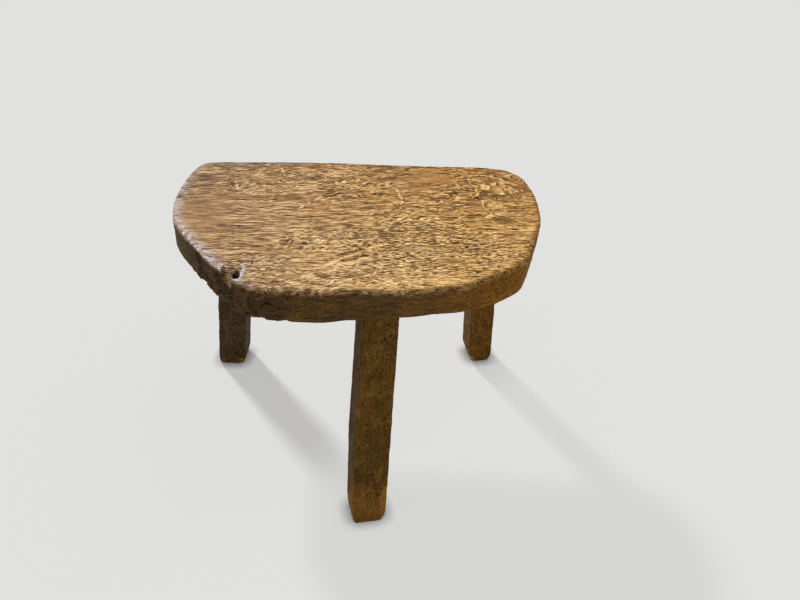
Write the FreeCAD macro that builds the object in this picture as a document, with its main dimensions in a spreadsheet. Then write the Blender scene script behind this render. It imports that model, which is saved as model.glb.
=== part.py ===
import FreeCAD, Part
import os

import Sketcher

# A low three-legged stool, hewn from weathered hardwood. The seat is one thick plank with a
# straight back edge, round shoulders and a narrower front. Its three splayed legs stand in
# blind mortises cut up into its underside. A hidden fox wedge spreads each tenon as the leg
# is driven home, so that the leg can't be pulled out again.
#
# Millimetres and degrees. +Z is up and +X runs along the straight back edge. The origin is on
# the ground, in the middle of the stool's footprint. The front leg is towards -Y.

# Every driving size: its name, its value, and what it measures.
SIZES = (
    ("seat_width", 457, "seat plank, end to end along the grain"),
    ("seat_depth", 337, "seat plank, front edge to back edge"),
    ("seat_height", 317, "ground to the sitting face"),
    ("seat_thickness", 42, "seat plank, sitting face to underside"),
    ("seat_forward", 1.5, "seat's middle, in front of the footprint's middle"),
    ("top_arris_width", 4, "worn top edge, across and down"),
    ("belly_height", 14, "underside to the widest part of the hewn rim"),
    ("belly_inset", 3, "rim there, in from the widest outline"),
    ("under_inset", 7, "underside's outline, in from the widest outline"),
    ("under_shift", 4, "underside's outline, towards the left end"),
    ("cleft_mouth", 17, "split in the front left rim, width at the rim"),
    ("cleft_reach", 24, "split, from the rim inwards"),
    ("cleft_drop", 27, "split, from the sitting face down"),
    ("cleft_turn_angle", -38, "split, turned from straight back"),
    ("furrow_depth", 1.3, "worn hollows along the grain of the sitting face"),
    ("furrow_overrun", 5, "each hollow's cutter, above the sitting face and past its ends"),
    ("leg_arris_width", 3, "knocked-off corners of each leg"),
    ("sole_wear", 1.5, "each leg's sole, in from the faces above"),
    ("tenon_length", 30, "each tenon, up from the underside"),
    ("tenon_shoulder", 6, "leg's face to tenon's face"),
    ("tenon_spread", 2, "each half of a tenon, driven apart at its top"),
    ("kerf_depth", 22, "saw cut for the wedge, down from the tenon's top"),
    ("kerf_width", 2, "saw cut, and the tip of the wedge"),
    ("front_side_angle", -3.8, "front leg's splay, to the right"),
    ("front_back_angle", -8.3, "front leg's splay, to the back"),
    ("front_turn_angle", 12, "front leg's turn about the vertical"),
    ("front_width", 42.5, "front leg's front face"),
    ("front_thickness", 43, "front leg, front face to back face"),
    ("front_ankle", 9, "ground to the end of the foot's wear"),
    ("front_sole_shift", 0.5, "worn sole, to the right"),
    ("front_knee_swell", 2.5, "front leg's swelling to the left at the knee"),
    ("rear_left_side_angle", -6.7, "rear left leg's splay, to the right"),
    ("rear_left_back_angle", 9.7, "rear left leg's splay, to the back"),
    ("rear_left_turn_angle", -4, "rear left leg's turn about the vertical"),
    ("rear_left_width", 40.5, "rear left leg's front face"),
    ("rear_left_thickness", 43, "rear left leg, front face to back face"),
    ("rear_left_ankle", 10, "ground to the end of the foot's wear"),
    ("rear_left_sole_shift", -0.5, "worn sole, to the right"),
    ("rear_left_knee_swell", 1, "rear left leg's swelling to the left at the knee"),
    ("rear_right_side_angle", 0.3, "rear right leg's splay, to the right"),
    ("rear_right_back_angle", 11.7, "rear right leg's splay, to the back"),
    ("rear_right_turn_angle", 11, "rear right leg's turn about the vertical"),
    ("rear_right_width", 35, "rear right leg's front face"),
    ("rear_right_thickness", 43, "rear right leg, front face to back face"),
    ("rear_right_ankle", 17, "ground to the end of the foot's wear"),
    ("rear_right_sole_shift", 1.5, "worn sole, to the right"),
    ("rear_right_knee_swell", 1, "rear right leg's swelling to the left at the knee"),
)
# Each leg's middle at the underside, from the seat's middle, as shares of half the seat's width
# and half its depth.
LEG_PLACE_SHARES = {
    "front": (0.136, -0.748),
    "rear_left": (-0.709, 0.700),
    "rear_right": (0.740, 0.677),
}
LEGS = tuple(LEG_PLACE_SHARES)

# The seat's outline is a ring of arcs. Each row is an arc's start and a point half way along it,
# as shares of half the width and half the depth, from the left end of the back edge clockwise.
OUTLINE_SHARES = (
    ((-0.810, 1.000), (-0.050, 0.975)),
    ((0.795, 0.895), (0.925, 0.780)),
    ((0.984, 0.500), (1.000, 0.220)),
    ((0.967, -0.150), (0.900, -0.490)),
    ((0.770, -0.720), (0.600, -0.885)),
    ((0.415, -0.967), (0.020, -1.000)),
    ((-0.370, -0.973), (-0.520, -0.896)),
    ((-0.620, -0.747), (-0.790, -0.440)),
    ((-0.925, -0.130), (-0.990, 0.200)),
    ((-0.991, 0.600), (-0.965, 0.820)),
    ((-0.925, 0.945), (-0.890, 0.985)),
)
# The worn hollows of the sitting face, row by row from the back: each one's middle across and
# back, as shares of half the seat's width and half its depth, and half its length and half its
# breadth, as shares of the same two.
FURROW_SHARES = (
    (-0.42, 0.745, 0.26, 0.075),
    (0.46, 0.720, 0.24, 0.070),
    (-0.62, 0.550, 0.17, 0.070),
    (0.36, 0.545, 0.25, 0.080),
    (-0.42, 0.350, 0.20, 0.075),
    (0.09, 0.365, 0.21, 0.075),
    (0.68, 0.360, 0.19, 0.080),
    (-0.38, 0.160, 0.26, 0.075),
    (0.42, 0.165, 0.32, 0.075),
    (-0.29, -0.025, 0.22, 0.075),
    (0.62, -0.030, 0.21, 0.080),
    (-0.50, -0.210, 0.20, 0.075),
    (0.22, -0.220, 0.27, 0.075),
    (-0.26, -0.405, 0.25, 0.070),
    (0.55, -0.410, 0.24, 0.080),
    (0.10, -0.590, 0.20, 0.070),
    (0.48, -0.620, 0.14, 0.060),
    (0.14, -0.770, 0.20, 0.060),
)
# Where the split opens on the rim, as shares of half the width and half the depth.
CLEFT_PLACE_SHARES = (-0.575, -0.835)
# How far down each leg its knee lies, as a share of the leg's length.
KNEE_SHARE = 0.57

doc = FreeCAD.newDocument("stool")
sheet = doc.addObject("Spreadsheet::Sheet", "sizes")
for row, (alias, value, meaning) in enumerate(SIZES, start=1):
    sheet.set(f"A{row}", meaning)
    sheet.set(f"B{row}", str(value))
    sheet.setAlias(f"B{row}", alias)
doc.recompute()


def make_body(label, place):
    """An empty body whose own origin stands at place, three expressions."""
    body = doc.addObject("PartDesign::Body", label)
    body.Label = label
    for axis, expression in zip("xyz", place):
        body.setExpression(f"Placement.Base.{axis}", expression)
    return body


def plane_sketch(body, name, role, place, turn="0"):
    """An empty sketch on one of a body's own planes. Its middle is at place, three expressions
    along the sketch's right, its up and its outward axis, and it is turned about the last."""
    sketch = body.newObject("Sketcher::SketchObject", name)
    plane = next(f for f in body.Origin.OriginFeatures if f.Role == role)
    sketch.AttachmentSupport = [(plane, "")]
    sketch.MapMode = "FlatFace"
    for axis, expression in zip("xyz", place):
        sketch.setExpression(f"AttachmentOffset.Base.{axis}", expression)
    sketch.setExpression("AttachmentOffset.Rotation.Angle", f"{turn} * 1 deg")
    return sketch


def level_sketch(body, name, place, turn="0"):
    """An empty sketch, level, with its middle at place and turned about the vertical."""
    return plane_sketch(body, name, "XY_Plane", place, turn)


def pin(sketch, geometry, position, point):
    """Hold one point of a sketch at two expressions, its distances right and up."""
    for kind, expression in zip(("DistanceX", "DistanceY"), point):
        value = float(sketch.evalExpression(expression))
        index = sketch.addConstraint(Sketcher.Constraint(kind, geometry, position, value))
        sketch.setExpression(f"Constraints[{index}]", expression)


def start_point(sketch, point):
    """The place that a pair of expressions has now, as a vector."""
    across, up = (float(sketch.evalExpression(expression)) for expression in point)
    return FreeCAD.Vector(across, up, 0)


def polygon(sketch, corners):
    """A closed outline of straight lines through corners, each a pair of expressions."""
    places = [start_point(sketch, corner) for corner in corners]
    lines = [
        sketch.addGeometry(Part.LineSegment(start, end))
        for start, end in zip(places, places[1:] + places[:1])
    ]
    for line, following, corner in zip(lines, lines[1:] + lines[:1], corners[1:] + corners[:1]):
        sketch.addConstraint(Sketcher.Constraint("Coincident", line, 2, following, 1))
        pin(sketch, following, 1, corner)
    return sketch


def rectangle(sketch, width, depth):
    """A rectangle about the sketch's middle, of two expressions."""
    right, back = f"({width}) / 2", f"({depth}) / 2"
    corners = [(f"{i} * {right}", f"{j} * {back}") for i, j in ((-1, -1), (1, -1), (1, 1), (-1, 1))]
    return polygon(sketch, corners)


def leg_section(sketch, width, depth):
    """A rectangle about the sketch's middle with its four corners knocked off."""
    right, back = f"({width}) / 2", f"({depth}) / 2"
    near_right, near_back = (f"({side} - sizes.leg_arris_width)" for side in (right, back))
    corners = []
    for i, j in ((1, -1), (1, 1), (-1, 1), (-1, -1)):
        pair = [(f"{i} * {near_right}", f"{j} * {back}"), (f"{i} * {right}", f"{j} * {near_back}")]
        corners += pair if i * j < 0 else pair[::-1]
    return polygon(sketch, corners)


def round_bottom(sketch, half_width, bottom, rise):
    """A circle's lower segment: bottom is its lowest point's height and rise is its chord's
    height over that, all expressions."""
    level = f"{bottom} + {rise}"
    corners = (f"-{half_width}", level), (half_width, level)
    left, low, right = (start_point(sketch, point) for point in (corners[0], ("0", bottom), corners[1]))
    arc = sketch.addGeometry(Part.Arc(left, low, right))
    chord = sketch.addGeometry(Part.LineSegment(right, left))
    for end, corner in enumerate(corners, start=1):
        sketch.addConstraint(Sketcher.Constraint("Coincident", arc, end, chord, 3 - end))
        pin(sketch, arc, end, corner)
    point = sketch.addGeometry(Part.Point(low), True)
    pin(sketch, point, 1, ("0", bottom))
    sketch.addConstraint(Sketcher.Constraint("PointOnObject", point, 1, arc))
    return sketch


def outline(sketch, inset):
    """The seat's ring of arcs, its half width and half depth less inset, an expression."""
    half = [f"(sizes.seat_{size} / 2 - ({inset}))" for size in ("width", "depth")]
    starts, middles = (
        [tuple(f"{share} * {side}" for share, side in zip(row[k], half)) for row in OUTLINE_SHARES]
        for k in (0, 1)
    )
    arcs = []
    for start, middle, end in zip(starts, middles, starts[1:] + starts[:1]):
        places = [start_point(sketch, point) for point in (start, middle, end)]
        arcs.append(sketch.addGeometry(Part.Arc(*places)))
    for arc, following, middle, end in zip(arcs, arcs[1:] + arcs[:1], middles, starts[1:] + starts[:1]):
        # A clockwise arc is kept with its ends exchanged, so its end in the ring is its point 1.
        sketch.addConstraint(Sketcher.Constraint("Coincident", arc, 1, following, 2))
        pin(sketch, following, 2, end)
        point = sketch.addGeometry(Part.Point(start_point(sketch, middle)), True)
        pin(sketch, point, 1, middle)
        sketch.addConstraint(Sketcher.Constraint("PointOnObject", point, 1, arc))
    return sketch


def loft(body, name, kind, sections):
    """A loft with straight sides through sketches, added to the body or cut from it."""
    feature = body.newObject(f"PartDesign::{kind}Loft", name)
    feature.Profile = sections[0]
    feature.Sections = sections[1:]
    feature.Ruled = True
    return feature


def seat_point(shares):
    """A place on the seat from its middle, as two expressions."""
    across, back = shares
    return f"{across} * sizes.seat_width / 2", f"{back} * sizes.seat_depth / 2"


def leg_place(leg):
    """The middle of a leg where it meets the seat's underside."""
    across, back = seat_point(LEG_PLACE_SHARES[leg])
    return across, f"{back} - sizes.seat_forward", "sizes.seat_height - sizes.seat_thickness"


def leg_axis(leg, height, from_x="0", from_y="0"):
    """Where a leg's middle line passes a height above the underside, as three expressions."""
    lean = [f"({height}) * tan(sizes.{leg}_{way}_angle * 1 deg)" for way in ("side", "back")]
    return f"{from_x} - {lean[0]}", f"{from_y} - {lean[1]}", height


def tenon_size(leg, spread="0"):
    """Width and depth of a leg's tenon, wider in depth by spread on each half."""
    width = f"sizes.{leg}_width - 2 * sizes.tenon_shoulder"
    depth = f"sizes.{leg}_thickness - 2 * sizes.tenon_shoulder + 2 * ({spread})"
    return width, depth


def tenon_sections(body, leg, name, from_x="0", from_y="0"):
    """The two levels of a spread tenon, or of the mortise that it fills."""
    turn = f"sizes.{leg}_turn_angle"
    mouth = level_sketch(body, f"{name}_mouth", leg_axis(leg, "0", from_x, from_y), turn)
    end = level_sketch(body, f"{name}_end", leg_axis(leg, "sizes.tenon_length", from_x, from_y), turn)
    return [
        rectangle(mouth, *tenon_size(leg)),
        rectangle(end, *tenon_size(leg, "sizes.tenon_spread")),
    ]


def wedge_sections(body, leg, name, width):
    """The tip and the head of a fox wedge, or of the spread saw cut that it fills."""
    turn = f"sizes.{leg}_turn_angle"
    tip = level_sketch(body, f"{name}_tip", leg_axis(leg, "sizes.tenon_length - sizes.kerf_depth"), turn)
    head = level_sketch(body, f"{name}_head", leg_axis(leg, "sizes.tenon_length"), turn)
    return [
        rectangle(tip, width, "sizes.kerf_width"),
        rectangle(head, width, "sizes.kerf_width + 2 * sizes.tenon_spread"),
    ]


def carve_furrow(body, name, shares):
    """A worn hollow along the grain: an arc across it, swept on a far larger arc along it."""
    across, back = seat_point(shares[:2])
    half_length, half_breadth = seat_point(shares[2:])
    long_radius, cross_radius = (
        f"((({half})^2 + sizes.furrow_depth^2) / (2 * sizes.furrow_depth))"
        for half in (half_length, half_breadth)
    )
    rise = "(sizes.furrow_depth + sizes.furrow_overrun)"
    axis_height = f"sizes.seat_thickness - sizes.furrow_depth + {long_radius}"
    profile = round_bottom(
        plane_sketch(body, f"{name}_section", "YZ_Plane", (back, axis_height, across)),
        f"sqrt(2 * {cross_radius} * {rise} - {rise}^2)", f"-{long_radius}", rise,
    )
    groove = body.newObject("PartDesign::Groove", name)
    groove.Profile = profile
    groove.ReferenceAxis = (profile, ["H_Axis"])
    groove.Midplane = True
    groove.setExpression("Angle", f"2 * asin(({half_length} + sizes.furrow_overrun) / {long_radius})")


def make_seat():
    """The plank: a hewn rim in three bands, three mortises, worn hollows and the rim's split."""
    body = make_body("seat_slab", ("0", "-sizes.seat_forward", "sizes.seat_height - sizes.seat_thickness"))
    levels = (
        ("underside", "sizes.under_inset", "-sizes.under_shift", "0"),
        ("belly", "sizes.belly_inset", "0", "sizes.belly_height"),
        ("rim", "0", "0", "sizes.seat_thickness - sizes.top_arris_width"),
        ("sitting_face", "sizes.top_arris_width", "0", "sizes.seat_thickness"),
    )
    sections = [
        outline(level_sketch(body, name, (shift, "0", height)), inset)
        for name, inset, shift, height in levels
    ]
    loft(body, "plank", "Additive", sections)
    for leg in LEGS:
        sections = tenon_sections(body, leg, f"{leg}_mortise", *seat_point(LEG_PLACE_SHARES[leg]))
        loft(body, f"{leg}_mortise", "Subtractive", sections)
    for number, shares in enumerate(FURROW_SHARES, start=1):
        carve_furrow(body, f"furrow_{number}", shares)
    place = (*seat_point(CLEFT_PLACE_SHARES), "sizes.seat_thickness")
    wedge = polygon(
        level_sketch(body, "cleft_outline", place, "sizes.cleft_turn_angle"),
        [
            ("-sizes.cleft_mouth", "-sizes.cleft_reach"),
            ("sizes.cleft_mouth", "-sizes.cleft_reach"),
            ("0", "sizes.cleft_reach"),
        ],
    )
    cleft = body.newObject("PartDesign::Pocket", "cleft")
    cleft.Profile = wedge
    cleft.setExpression("Length", "sizes.cleft_drop")
    return body


def make_leg(leg):
    """A hewn leg with a worn foot, its blind tenon, and the saw cut for its wedge."""
    length = "(sizes.seat_height - sizes.seat_thickness)"
    width, depth = f"sizes.{leg}_width", f"sizes.{leg}_thickness"
    swell, sole = f"sizes.{leg}_knee_swell", f"sizes.{leg}_sole_shift"
    body = make_body(f"{leg}_leg", leg_place(leg))
    levels = (
        ("shoulder", "0", "0", width, depth),
        ("knee", f"-{KNEE_SHARE} * {length}", f"-{swell} / 2", f"{width} + {swell}", depth),
        ("ankle", f"sizes.{leg}_ankle - {length}", "0", width, depth),
        (
            "sole",
            f"-{length}",
            sole,
            f"{width} - 2 * sizes.sole_wear - 2 * abs({sole})",
            f"{depth} - 2 * sizes.sole_wear",
        ),
    )
    sections = []
    for name, height, shift, across, through in levels:
        sketch = level_sketch(body, name, leg_axis(leg, height, shift), f"sizes.{leg}_turn_angle")
        sections.append(leg_section(sketch, across, through))
    loft(body, "shaft", "Additive", sections)
    loft(body, "tenon", "Additive", tenon_sections(body, leg, "tenon"))
    # The saw cut is as wide as the whole leg, so that it opens on both sides of the tenon.
    loft(body, "kerf", "Subtractive", wedge_sections(body, leg, "kerf", width))
    return body


def make_wedge(leg):
    """The fox wedge in a leg's saw cut, as wide as the tenon."""
    body = make_body(f"{leg}_wedge", leg_place(leg))
    loft(body, "taper", "Additive", wedge_sections(body, leg, "taper", tenon_size(leg)[0]))
    return body


def check_document():
    """Stop if any object failed to build, or if a cut took nothing away."""
    for item in doc.Objects:
        if {"Invalid", "Error"} & set(item.State):
            raise RuntimeError(f"{item.Label} failed: {item.State}")
    for item in doc.Objects:
        if item.TypeId in ("PartDesign::SubtractiveLoft", "PartDesign::Pocket", "PartDesign::Groove"):
            if item.Shape.Volume >= item.BaseFeature.Shape.Volume:
                raise RuntimeError(f"{item.Label} cuts nothing")


def check_body(body):
    """Stop unless a body is one sound solid."""
    shape = body.Shape
    if shape.isNull() or not shape.isValid() or len(shape.Solids) != 1:
        raise RuntimeError(f"{body.Label} is not one sound solid")


bodies = [make_seat()] + [make_leg(leg) for leg in LEGS] + [make_wedge(leg) for leg in LEGS]
doc.recompute()
check_document()
for body in bodies:
    check_body(body)
os.makedirs("parts", exist_ok=True)
for body in bodies:
    body.Shape.exportStep(f"parts/{body.Label}.step")
    box = body.Shape.optimalBoundingBox(False, False)
    print(
        f"{body.Label}: X {box.XMin:.1f}..{box.XMax:.1f}, Y {box.YMin:.1f}..{box.YMax:.1f}, "
        f"Z {box.ZMin:.1f}..{box.ZMax:.1f}, {len(body.Shape.Faces)} faces"
    )
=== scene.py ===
import itertools
import math
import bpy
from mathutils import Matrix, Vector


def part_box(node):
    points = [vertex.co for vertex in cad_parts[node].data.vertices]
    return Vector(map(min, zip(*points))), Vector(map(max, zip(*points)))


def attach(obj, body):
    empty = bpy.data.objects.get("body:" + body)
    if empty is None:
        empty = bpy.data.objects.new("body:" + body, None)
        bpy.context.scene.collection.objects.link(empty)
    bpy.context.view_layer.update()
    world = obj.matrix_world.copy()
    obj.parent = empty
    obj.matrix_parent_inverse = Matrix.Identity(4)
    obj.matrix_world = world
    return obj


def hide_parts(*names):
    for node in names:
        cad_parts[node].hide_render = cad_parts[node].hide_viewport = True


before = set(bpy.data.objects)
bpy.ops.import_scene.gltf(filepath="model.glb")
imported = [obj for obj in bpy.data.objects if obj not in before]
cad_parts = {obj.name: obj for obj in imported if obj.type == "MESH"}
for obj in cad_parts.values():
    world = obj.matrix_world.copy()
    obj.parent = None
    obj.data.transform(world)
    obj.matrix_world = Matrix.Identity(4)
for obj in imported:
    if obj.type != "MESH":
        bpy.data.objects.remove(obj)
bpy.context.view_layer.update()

from types import SimpleNamespace

import bpy
import numpy as np
from bpy.props import FloatProperty, FloatVectorProperty, PointerProperty
from mathutils import Vector

# The visual pieces of a low stool with a weathered plank seat on three hewn legs. The solids'
# frame gives every place and size: metres, +Z up, the grain of the seat along X, the front
# leg towards -Y. Each surface is worked out on a grid of two parameters.

MM = 0.001
LEGS = ("front", "rear_left", "rear_right")
# How far in a quarter circle has come at half its turn, as a share of its radius.
HALF_TURN_SHARE = 1 - math.sqrt(0.5)

bl_info = {
    "name": "Weathered Plank Stool",
    "version": (1, 0, 0),
    "blender": (4, 5, 0),
    "location": "View3D > Sidebar > Stool",
    "description": "Carves the seat and legs of a weathered three-legged stool over its solids",
    "category": "Add Mesh",
}

# Counts of the seat's grid: along the grain, across it, down its rim, and below it both ways.
GRAIN_CELLS = 324
CROSS_CELLS = 216
RIM_CELLS = 18
UNDER_CELLS = 81, 54
# Into how many steps the outline is cut between two of its points, before it is resampled.
CURVE_CELLS = 60
# Counts of a leg's grid: round it, along its shaft, across its sole, over its shoulder, up its
# tenon and across the tenon's end.
ROUND_CELLS = 124
SHAFT_CELLS = 300
SOLE_CELLS = 10
SHOULDER_CELLS = 3
TENON_CELLS = 4
END_CELLS = 4
# Over how many levels a leg's middles and half sizes are averaged.
SOFT_LEVELS = 15

# The sitting face's outline, as shares of half the seat's width and depth from its middle,
# anticlockwise from the front left corner, side by side.
FRONT_SHARES = (
    (-0.592, -0.773), (-0.509, -0.891), (-0.400, -0.950), (-0.269, -0.975), (-0.130, -0.985),
    (0.010, -0.965), (0.170, -0.975), (0.310, -0.973), (0.449, -0.940), (0.571, -0.893),
)
RIGHT_SHARES = (
    (0.702, -0.775), (0.794, -0.685), (0.868, -0.578), (0.929, -0.348), (0.968, -0.130),
    (0.990, 0.035), (0.995, 0.230), (0.990, 0.395), (0.968, 0.566), (0.938, 0.707),
)
BACK_SHARES = (
    (0.886, 0.802), (0.833, 0.855), (0.707, 0.896), (0.476, 0.914), (0.240, 0.932),
    (-0.052, 0.967), (-0.348, 0.991), (-0.578, 0.995), (-0.800, 0.995),
)
LEFT_SHARES = (
    (-0.885, 0.985), (-0.927, 0.932), (-0.953, 0.837), (-0.979, 0.654), (-0.992, 0.477),
    (-0.993, 0.300), (-0.970, 0.070), (-0.931, -0.071), (-0.848, -0.278), (-0.744, -0.502),
    (-0.670, -0.649),
)

# How far the rim has drawn in at the underside, by bearing in degrees from the right end
# anticlockwise, as a share of the plank's thickness.
UNDERCUT_BEARINGS = (0, 40, 90, 140, 180, 215, 235, 250, 262, 275, 288, 300, 312, 322, 334, 348)
UNDERCUT_SHARES = (
    0.26, 0.20, 0.10, 0.05, 0.02, 0.00, 0.00, 0.00, 0.00, 0.06, 0.22, 0.28, 0.20, 0.05, 0.12, 0.25,
)
# How warm the rim's skin is by the same bearings, from grey brown to golden brown.
WARMTH_BEARINGS = (0, 60, 110, 150, 210, 240, 258, 285, 305, 322, 345)
WARMTH_SHARES = (0.85, 0.45, 0.25, 0.08, 0.04, 0.06, 0.22, 0.20, 0.42, 0.90, 1.0)

# How round the upper rim is worn by bearing, as shares of its usual radius.
ROUNDING_BEARINGS = (0, 45, 95, 140, 180, 225, 240, 300, 314, 328, 345)
ROUNDING_SHARES = (1.2, 0.8, 0.5, 0.5, 1.0, 1.0, 1.1, 1.2, 1.2, 1.9, 1.8)

# Zones of the rim: from which bearing to which each grows, and from which to which it ends.
LUMP_ZONE = (230, 236), (264, 274)
PALE_LUMP_ZONE = (228, 236), (264, 272)
NOTCHED_ZONE = (226, 238), (318, 335)
CRUST_ZONE = (188, 204), (240, 260)
FLAKE_ZONE = (226, 236), (300, 330)
# The bleached zone holds weathered grey wood with painted cool glints.
BLEACH_SHEEN_ZONE = (108, 122), (224, 240)
# From which bearing to which the bleaching and its painted cool glints get strong and the
# stronger darkening of the face's edge on the golden rim starts, and the bearing past the right
# end where that darkening ends.
BLEACH_SHEEN_GROWTH = 140, 168
GOLDEN_START = 268, 300
GOLDEN_END = 20

# How each leg is turned about the vertical, in degrees.
LEG_TURN_ANGLES = {"front": 12, "rear_left": -4, "rear_right": 11}
# Corners broken off the feet: 1 for the right or -1 for the left, 1 for the back or -1 for the
# front, and in millimetres how high and how deep.
FOOT_CHIPS = {
    "front": ((-1, -1, 6, 2), (1, -1, 6, 2)),
    "rear_left": ((1, -1, 6, 3), (-1, -1, 4, 2)),
    "rear_right": ((-1, -1, 18, 5), (1, -1, 6, 2)),
}
# The edge of each leg that is worn to amber wood: 1 for the right or -1 for the left, and how
# high in millimetres.
AMBER_EDGES = {"front": (1, 62), "rear_left": (1, 12), "rear_right": (-1, 10)}
# How amber the whole foot of each leg is.
FOOT_AMBER = {"front": 0.60, "rear_left": 0, "rear_right": 0}
# How deep a leg's marks are where they are deepest, and how high its ripples stand.
NICK_DEPTH = 0.45 * MM
CRACK_DEPTH = 1.1 * MM
SPLINTER_DEPTH = 1.6 * MM
RIPPLE_HEIGHT = 0.12 * MM
# How deep the sole is worn, how far in its edge stands as a share of the leg, and the radius
# of a tenon's long corners.
SOLE_WEAR = 0.7 * MM
SOLE_EDGE_SHARE = 0.985
TENON_ROUND = 0.6 * MM
# The masks of a leg's hidden shoulder and tenon.
PLAIN_WOOD = {
    "lift": 0.5, "pit": 0, "skin": 1, "raw": 0, "bleach_and_sheen": 0, "tone": 0.5, "rough": 1, "short": 0.2,
}
# How long and how wide the fibres are in the wood's own colours.
SEAT_GRAIN = 17 * MM, 1.9 * MM
LEG_GRAIN = 10 * MM, 2.1 * MM
WEDGE_GRAIN = 18 * MM, 1.2 * MM
# The wood's noises: how long and how wide each is, as shares of the fibres' own grain, and its
# detail. Fibres, the pores between them, long gaps and short loops.
GRAIN_SHARES = ((1.0, 1.0, 0.5), (0.36, 0.82, 0.0), (2.3, 3.0, 0.5), (0.85, 2.4, 0.5))
# Where the face's hollow, plain and ridge tans stand on its scale of paleness.
TAN_STOPS = (0.14, 0.50, 0.86)
# What the face's tans are multiplied by at their coolest, and raw wood at its darkest and
# palest fibres.
COOL_TINT = (0.86, 0.98, 1.50)
AMBER_TINTS = (0.50, 0.45, 0.40), (1.30, 1.25, 1.20)
# How high the bump of the finest grain stands.
BUMP_HEIGHT = 2.0 * MM
# How much light the wood throws back at a glance, as the shader's own level.
SPECULAR_LEVEL = 0.08
# What a leg's brown is multiplied by where it is darkest and palest, and the wedges' wood
# between its fibres.
LEG_SHADES = 0.55, 1.25
WEDGE_SHADE = 0.55

# The way that the key light shines, and how far the floor reaches from its middle, in metres.
KEY_RUN = (0.408, -0.630, -0.661)
FLOOR_REACH = 12.0
# From where to where the rear legs' shadows get deeper, along Y less X, in metres.
DEEPER_FROM, DEEPER_TO = -0.15, 0.05
# How dark the floor gets where it is wholly closed in, and its paint's share of its colour.
CONTACT_DARKNESS = 1.1
PAINT_SHARE = 0.9

# Knots that the grain runs round.
KNOT_SHARES = (
    (0.667, 0.368), (-0.149, -0.242), (0.163, 0.505), (-0.048, 0.448), (0.516, -0.438),
    (-0.342, 0.366), (0.171, -0.220), (-0.875, 0.710), (-0.560, -0.500), (0.520, -0.590),
)
# Broad pale strands that rise across the grain at the front.
STRAND_SHARES = (
    ((-0.105, -0.650), (-0.070, -0.580), (0.010, -0.510), (0.085, -0.440), (0.150, -0.370)),
    ((-0.085, -0.760), (-0.080, -0.680), (-0.020, -0.620), (0.050, -0.575), (0.090, -0.560)),
)
# Narrow pale splinters along the front edge.
SPLINTER_SHARES = (
    ((0.125, -0.850), (0.190, -0.905), (0.255, -0.955)),
    ((0.190, -0.860), (0.230, -0.910)),
    ((-0.140, -0.985), (-0.105, -0.945), (-0.045, -0.940)),
    ((0.290, -0.905), (0.350, -0.935)),
)
# Pale raised veins, each through places chosen along it.
VEIN_SHARES = (
    ((-0.690, 0.700), (-0.683, 0.600), (-0.660, 0.500), (-0.610, 0.440), (-0.560, 0.390)),
    ((-0.300, 0.180), (-0.250, 0.270), (-0.200, 0.350), (-0.120, 0.430), (-0.030, 0.500),
     (0.060, 0.520)),
    ((0.060, 0.520), (0.150, 0.590), (0.180, 0.640)),
    ((0.170, 0.620), (0.215, 0.500), (0.245, 0.430)),
    ((0.245, 0.430), (0.255, 0.300), (0.240, 0.180)),
    ((0.560, 0.360), (0.640, 0.355), (0.680, 0.420)),
    ((0.540, 0.010), (0.620, 0.070), (0.690, 0.140)),
    ((0.690, 0.330), (0.700, 0.200), (0.730, 0.100)),
    ((0.680, 0.420), (0.650, 0.560), (0.630, 0.700)),
    ((0.540, 0.780), (0.600, 0.720), (0.690, 0.740)),
    ((-0.330, -0.400), (-0.315, -0.320), (-0.270, -0.265), (-0.190, -0.250), (-0.120, -0.290)),
    ((0.105, -0.690), (0.130, -0.780), (0.165, -0.850)),
    ((0.160, -0.840), (0.220, -0.900), (0.260, -0.950)),
    ((-0.100, -0.900), (-0.060, -0.840), (0.020, -0.830)),
    ((-0.470, -0.640), (-0.460, -0.560)),
    ((0.230, -0.020), (0.290, 0.060), (0.350, 0.140), (0.430, 0.180)),
    ((-0.450, 0.880), (-0.420, 0.780), (-0.400, 0.700)),
    ((-0.200, 0.720), (-0.120, 0.620), (-0.100, 0.520)),
)
# Where veins wind over the face: middle, and reach along the grain and across it.
VEINED_SHARES = (
    ((-0.500, 0.620), (0.28, 0.36)), ((-0.080, 0.600), (0.30, 0.36)),
    ((0.640, 0.400), (0.28, 0.50)), ((-0.250, -0.330), (0.16, 0.22)),
    ((0.100, -0.780), (0.26, 0.20)), ((-0.300, -0.820), (0.26, 0.16)),
    ((0.220, 0.060), (0.16, 0.20)),
)
# Where the face is all short crumbs.
CRUMBLY_SHARES = (
    ((0.420, -0.480), (0.46, 0.34)), ((0.350, -0.130), (0.26, 0.18)),
    ((0.000, -0.330), (0.24, 0.22)), ((-0.480, -0.620), (0.20, 0.14)),
)
# Open cracks along the grain.
CRACK_SHARES = (
    ((-0.995, 0.380), (-0.930, 0.362), (-0.870, 0.362)),
    ((0.110, 0.424), (0.300, 0.418), (0.450, 0.421), (0.600, 0.430)),
    ((0.570, -0.080), (0.680, -0.087), (0.770, -0.085)),
    ((0.650, -0.145), (0.760, -0.152), (0.850, -0.148)),
    ((-0.710, -0.090), (-0.590, -0.098), (-0.460, -0.102)),
    ((0.480, -0.775), (0.550, -0.786), (0.620, -0.795)),
    ((-0.060, -0.540), (0.010, -0.492), (0.075, -0.470)),
)
# Worm holes and pin knots.
HOLE_SHARES = (
    (-0.149, -0.242), (-0.048, 0.448), (0.516, -0.438), (0.582, -0.386), (0.722, -0.665),
    (0.037, -0.146), (0.171, -0.230), (0.667, 0.368),
)
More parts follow.
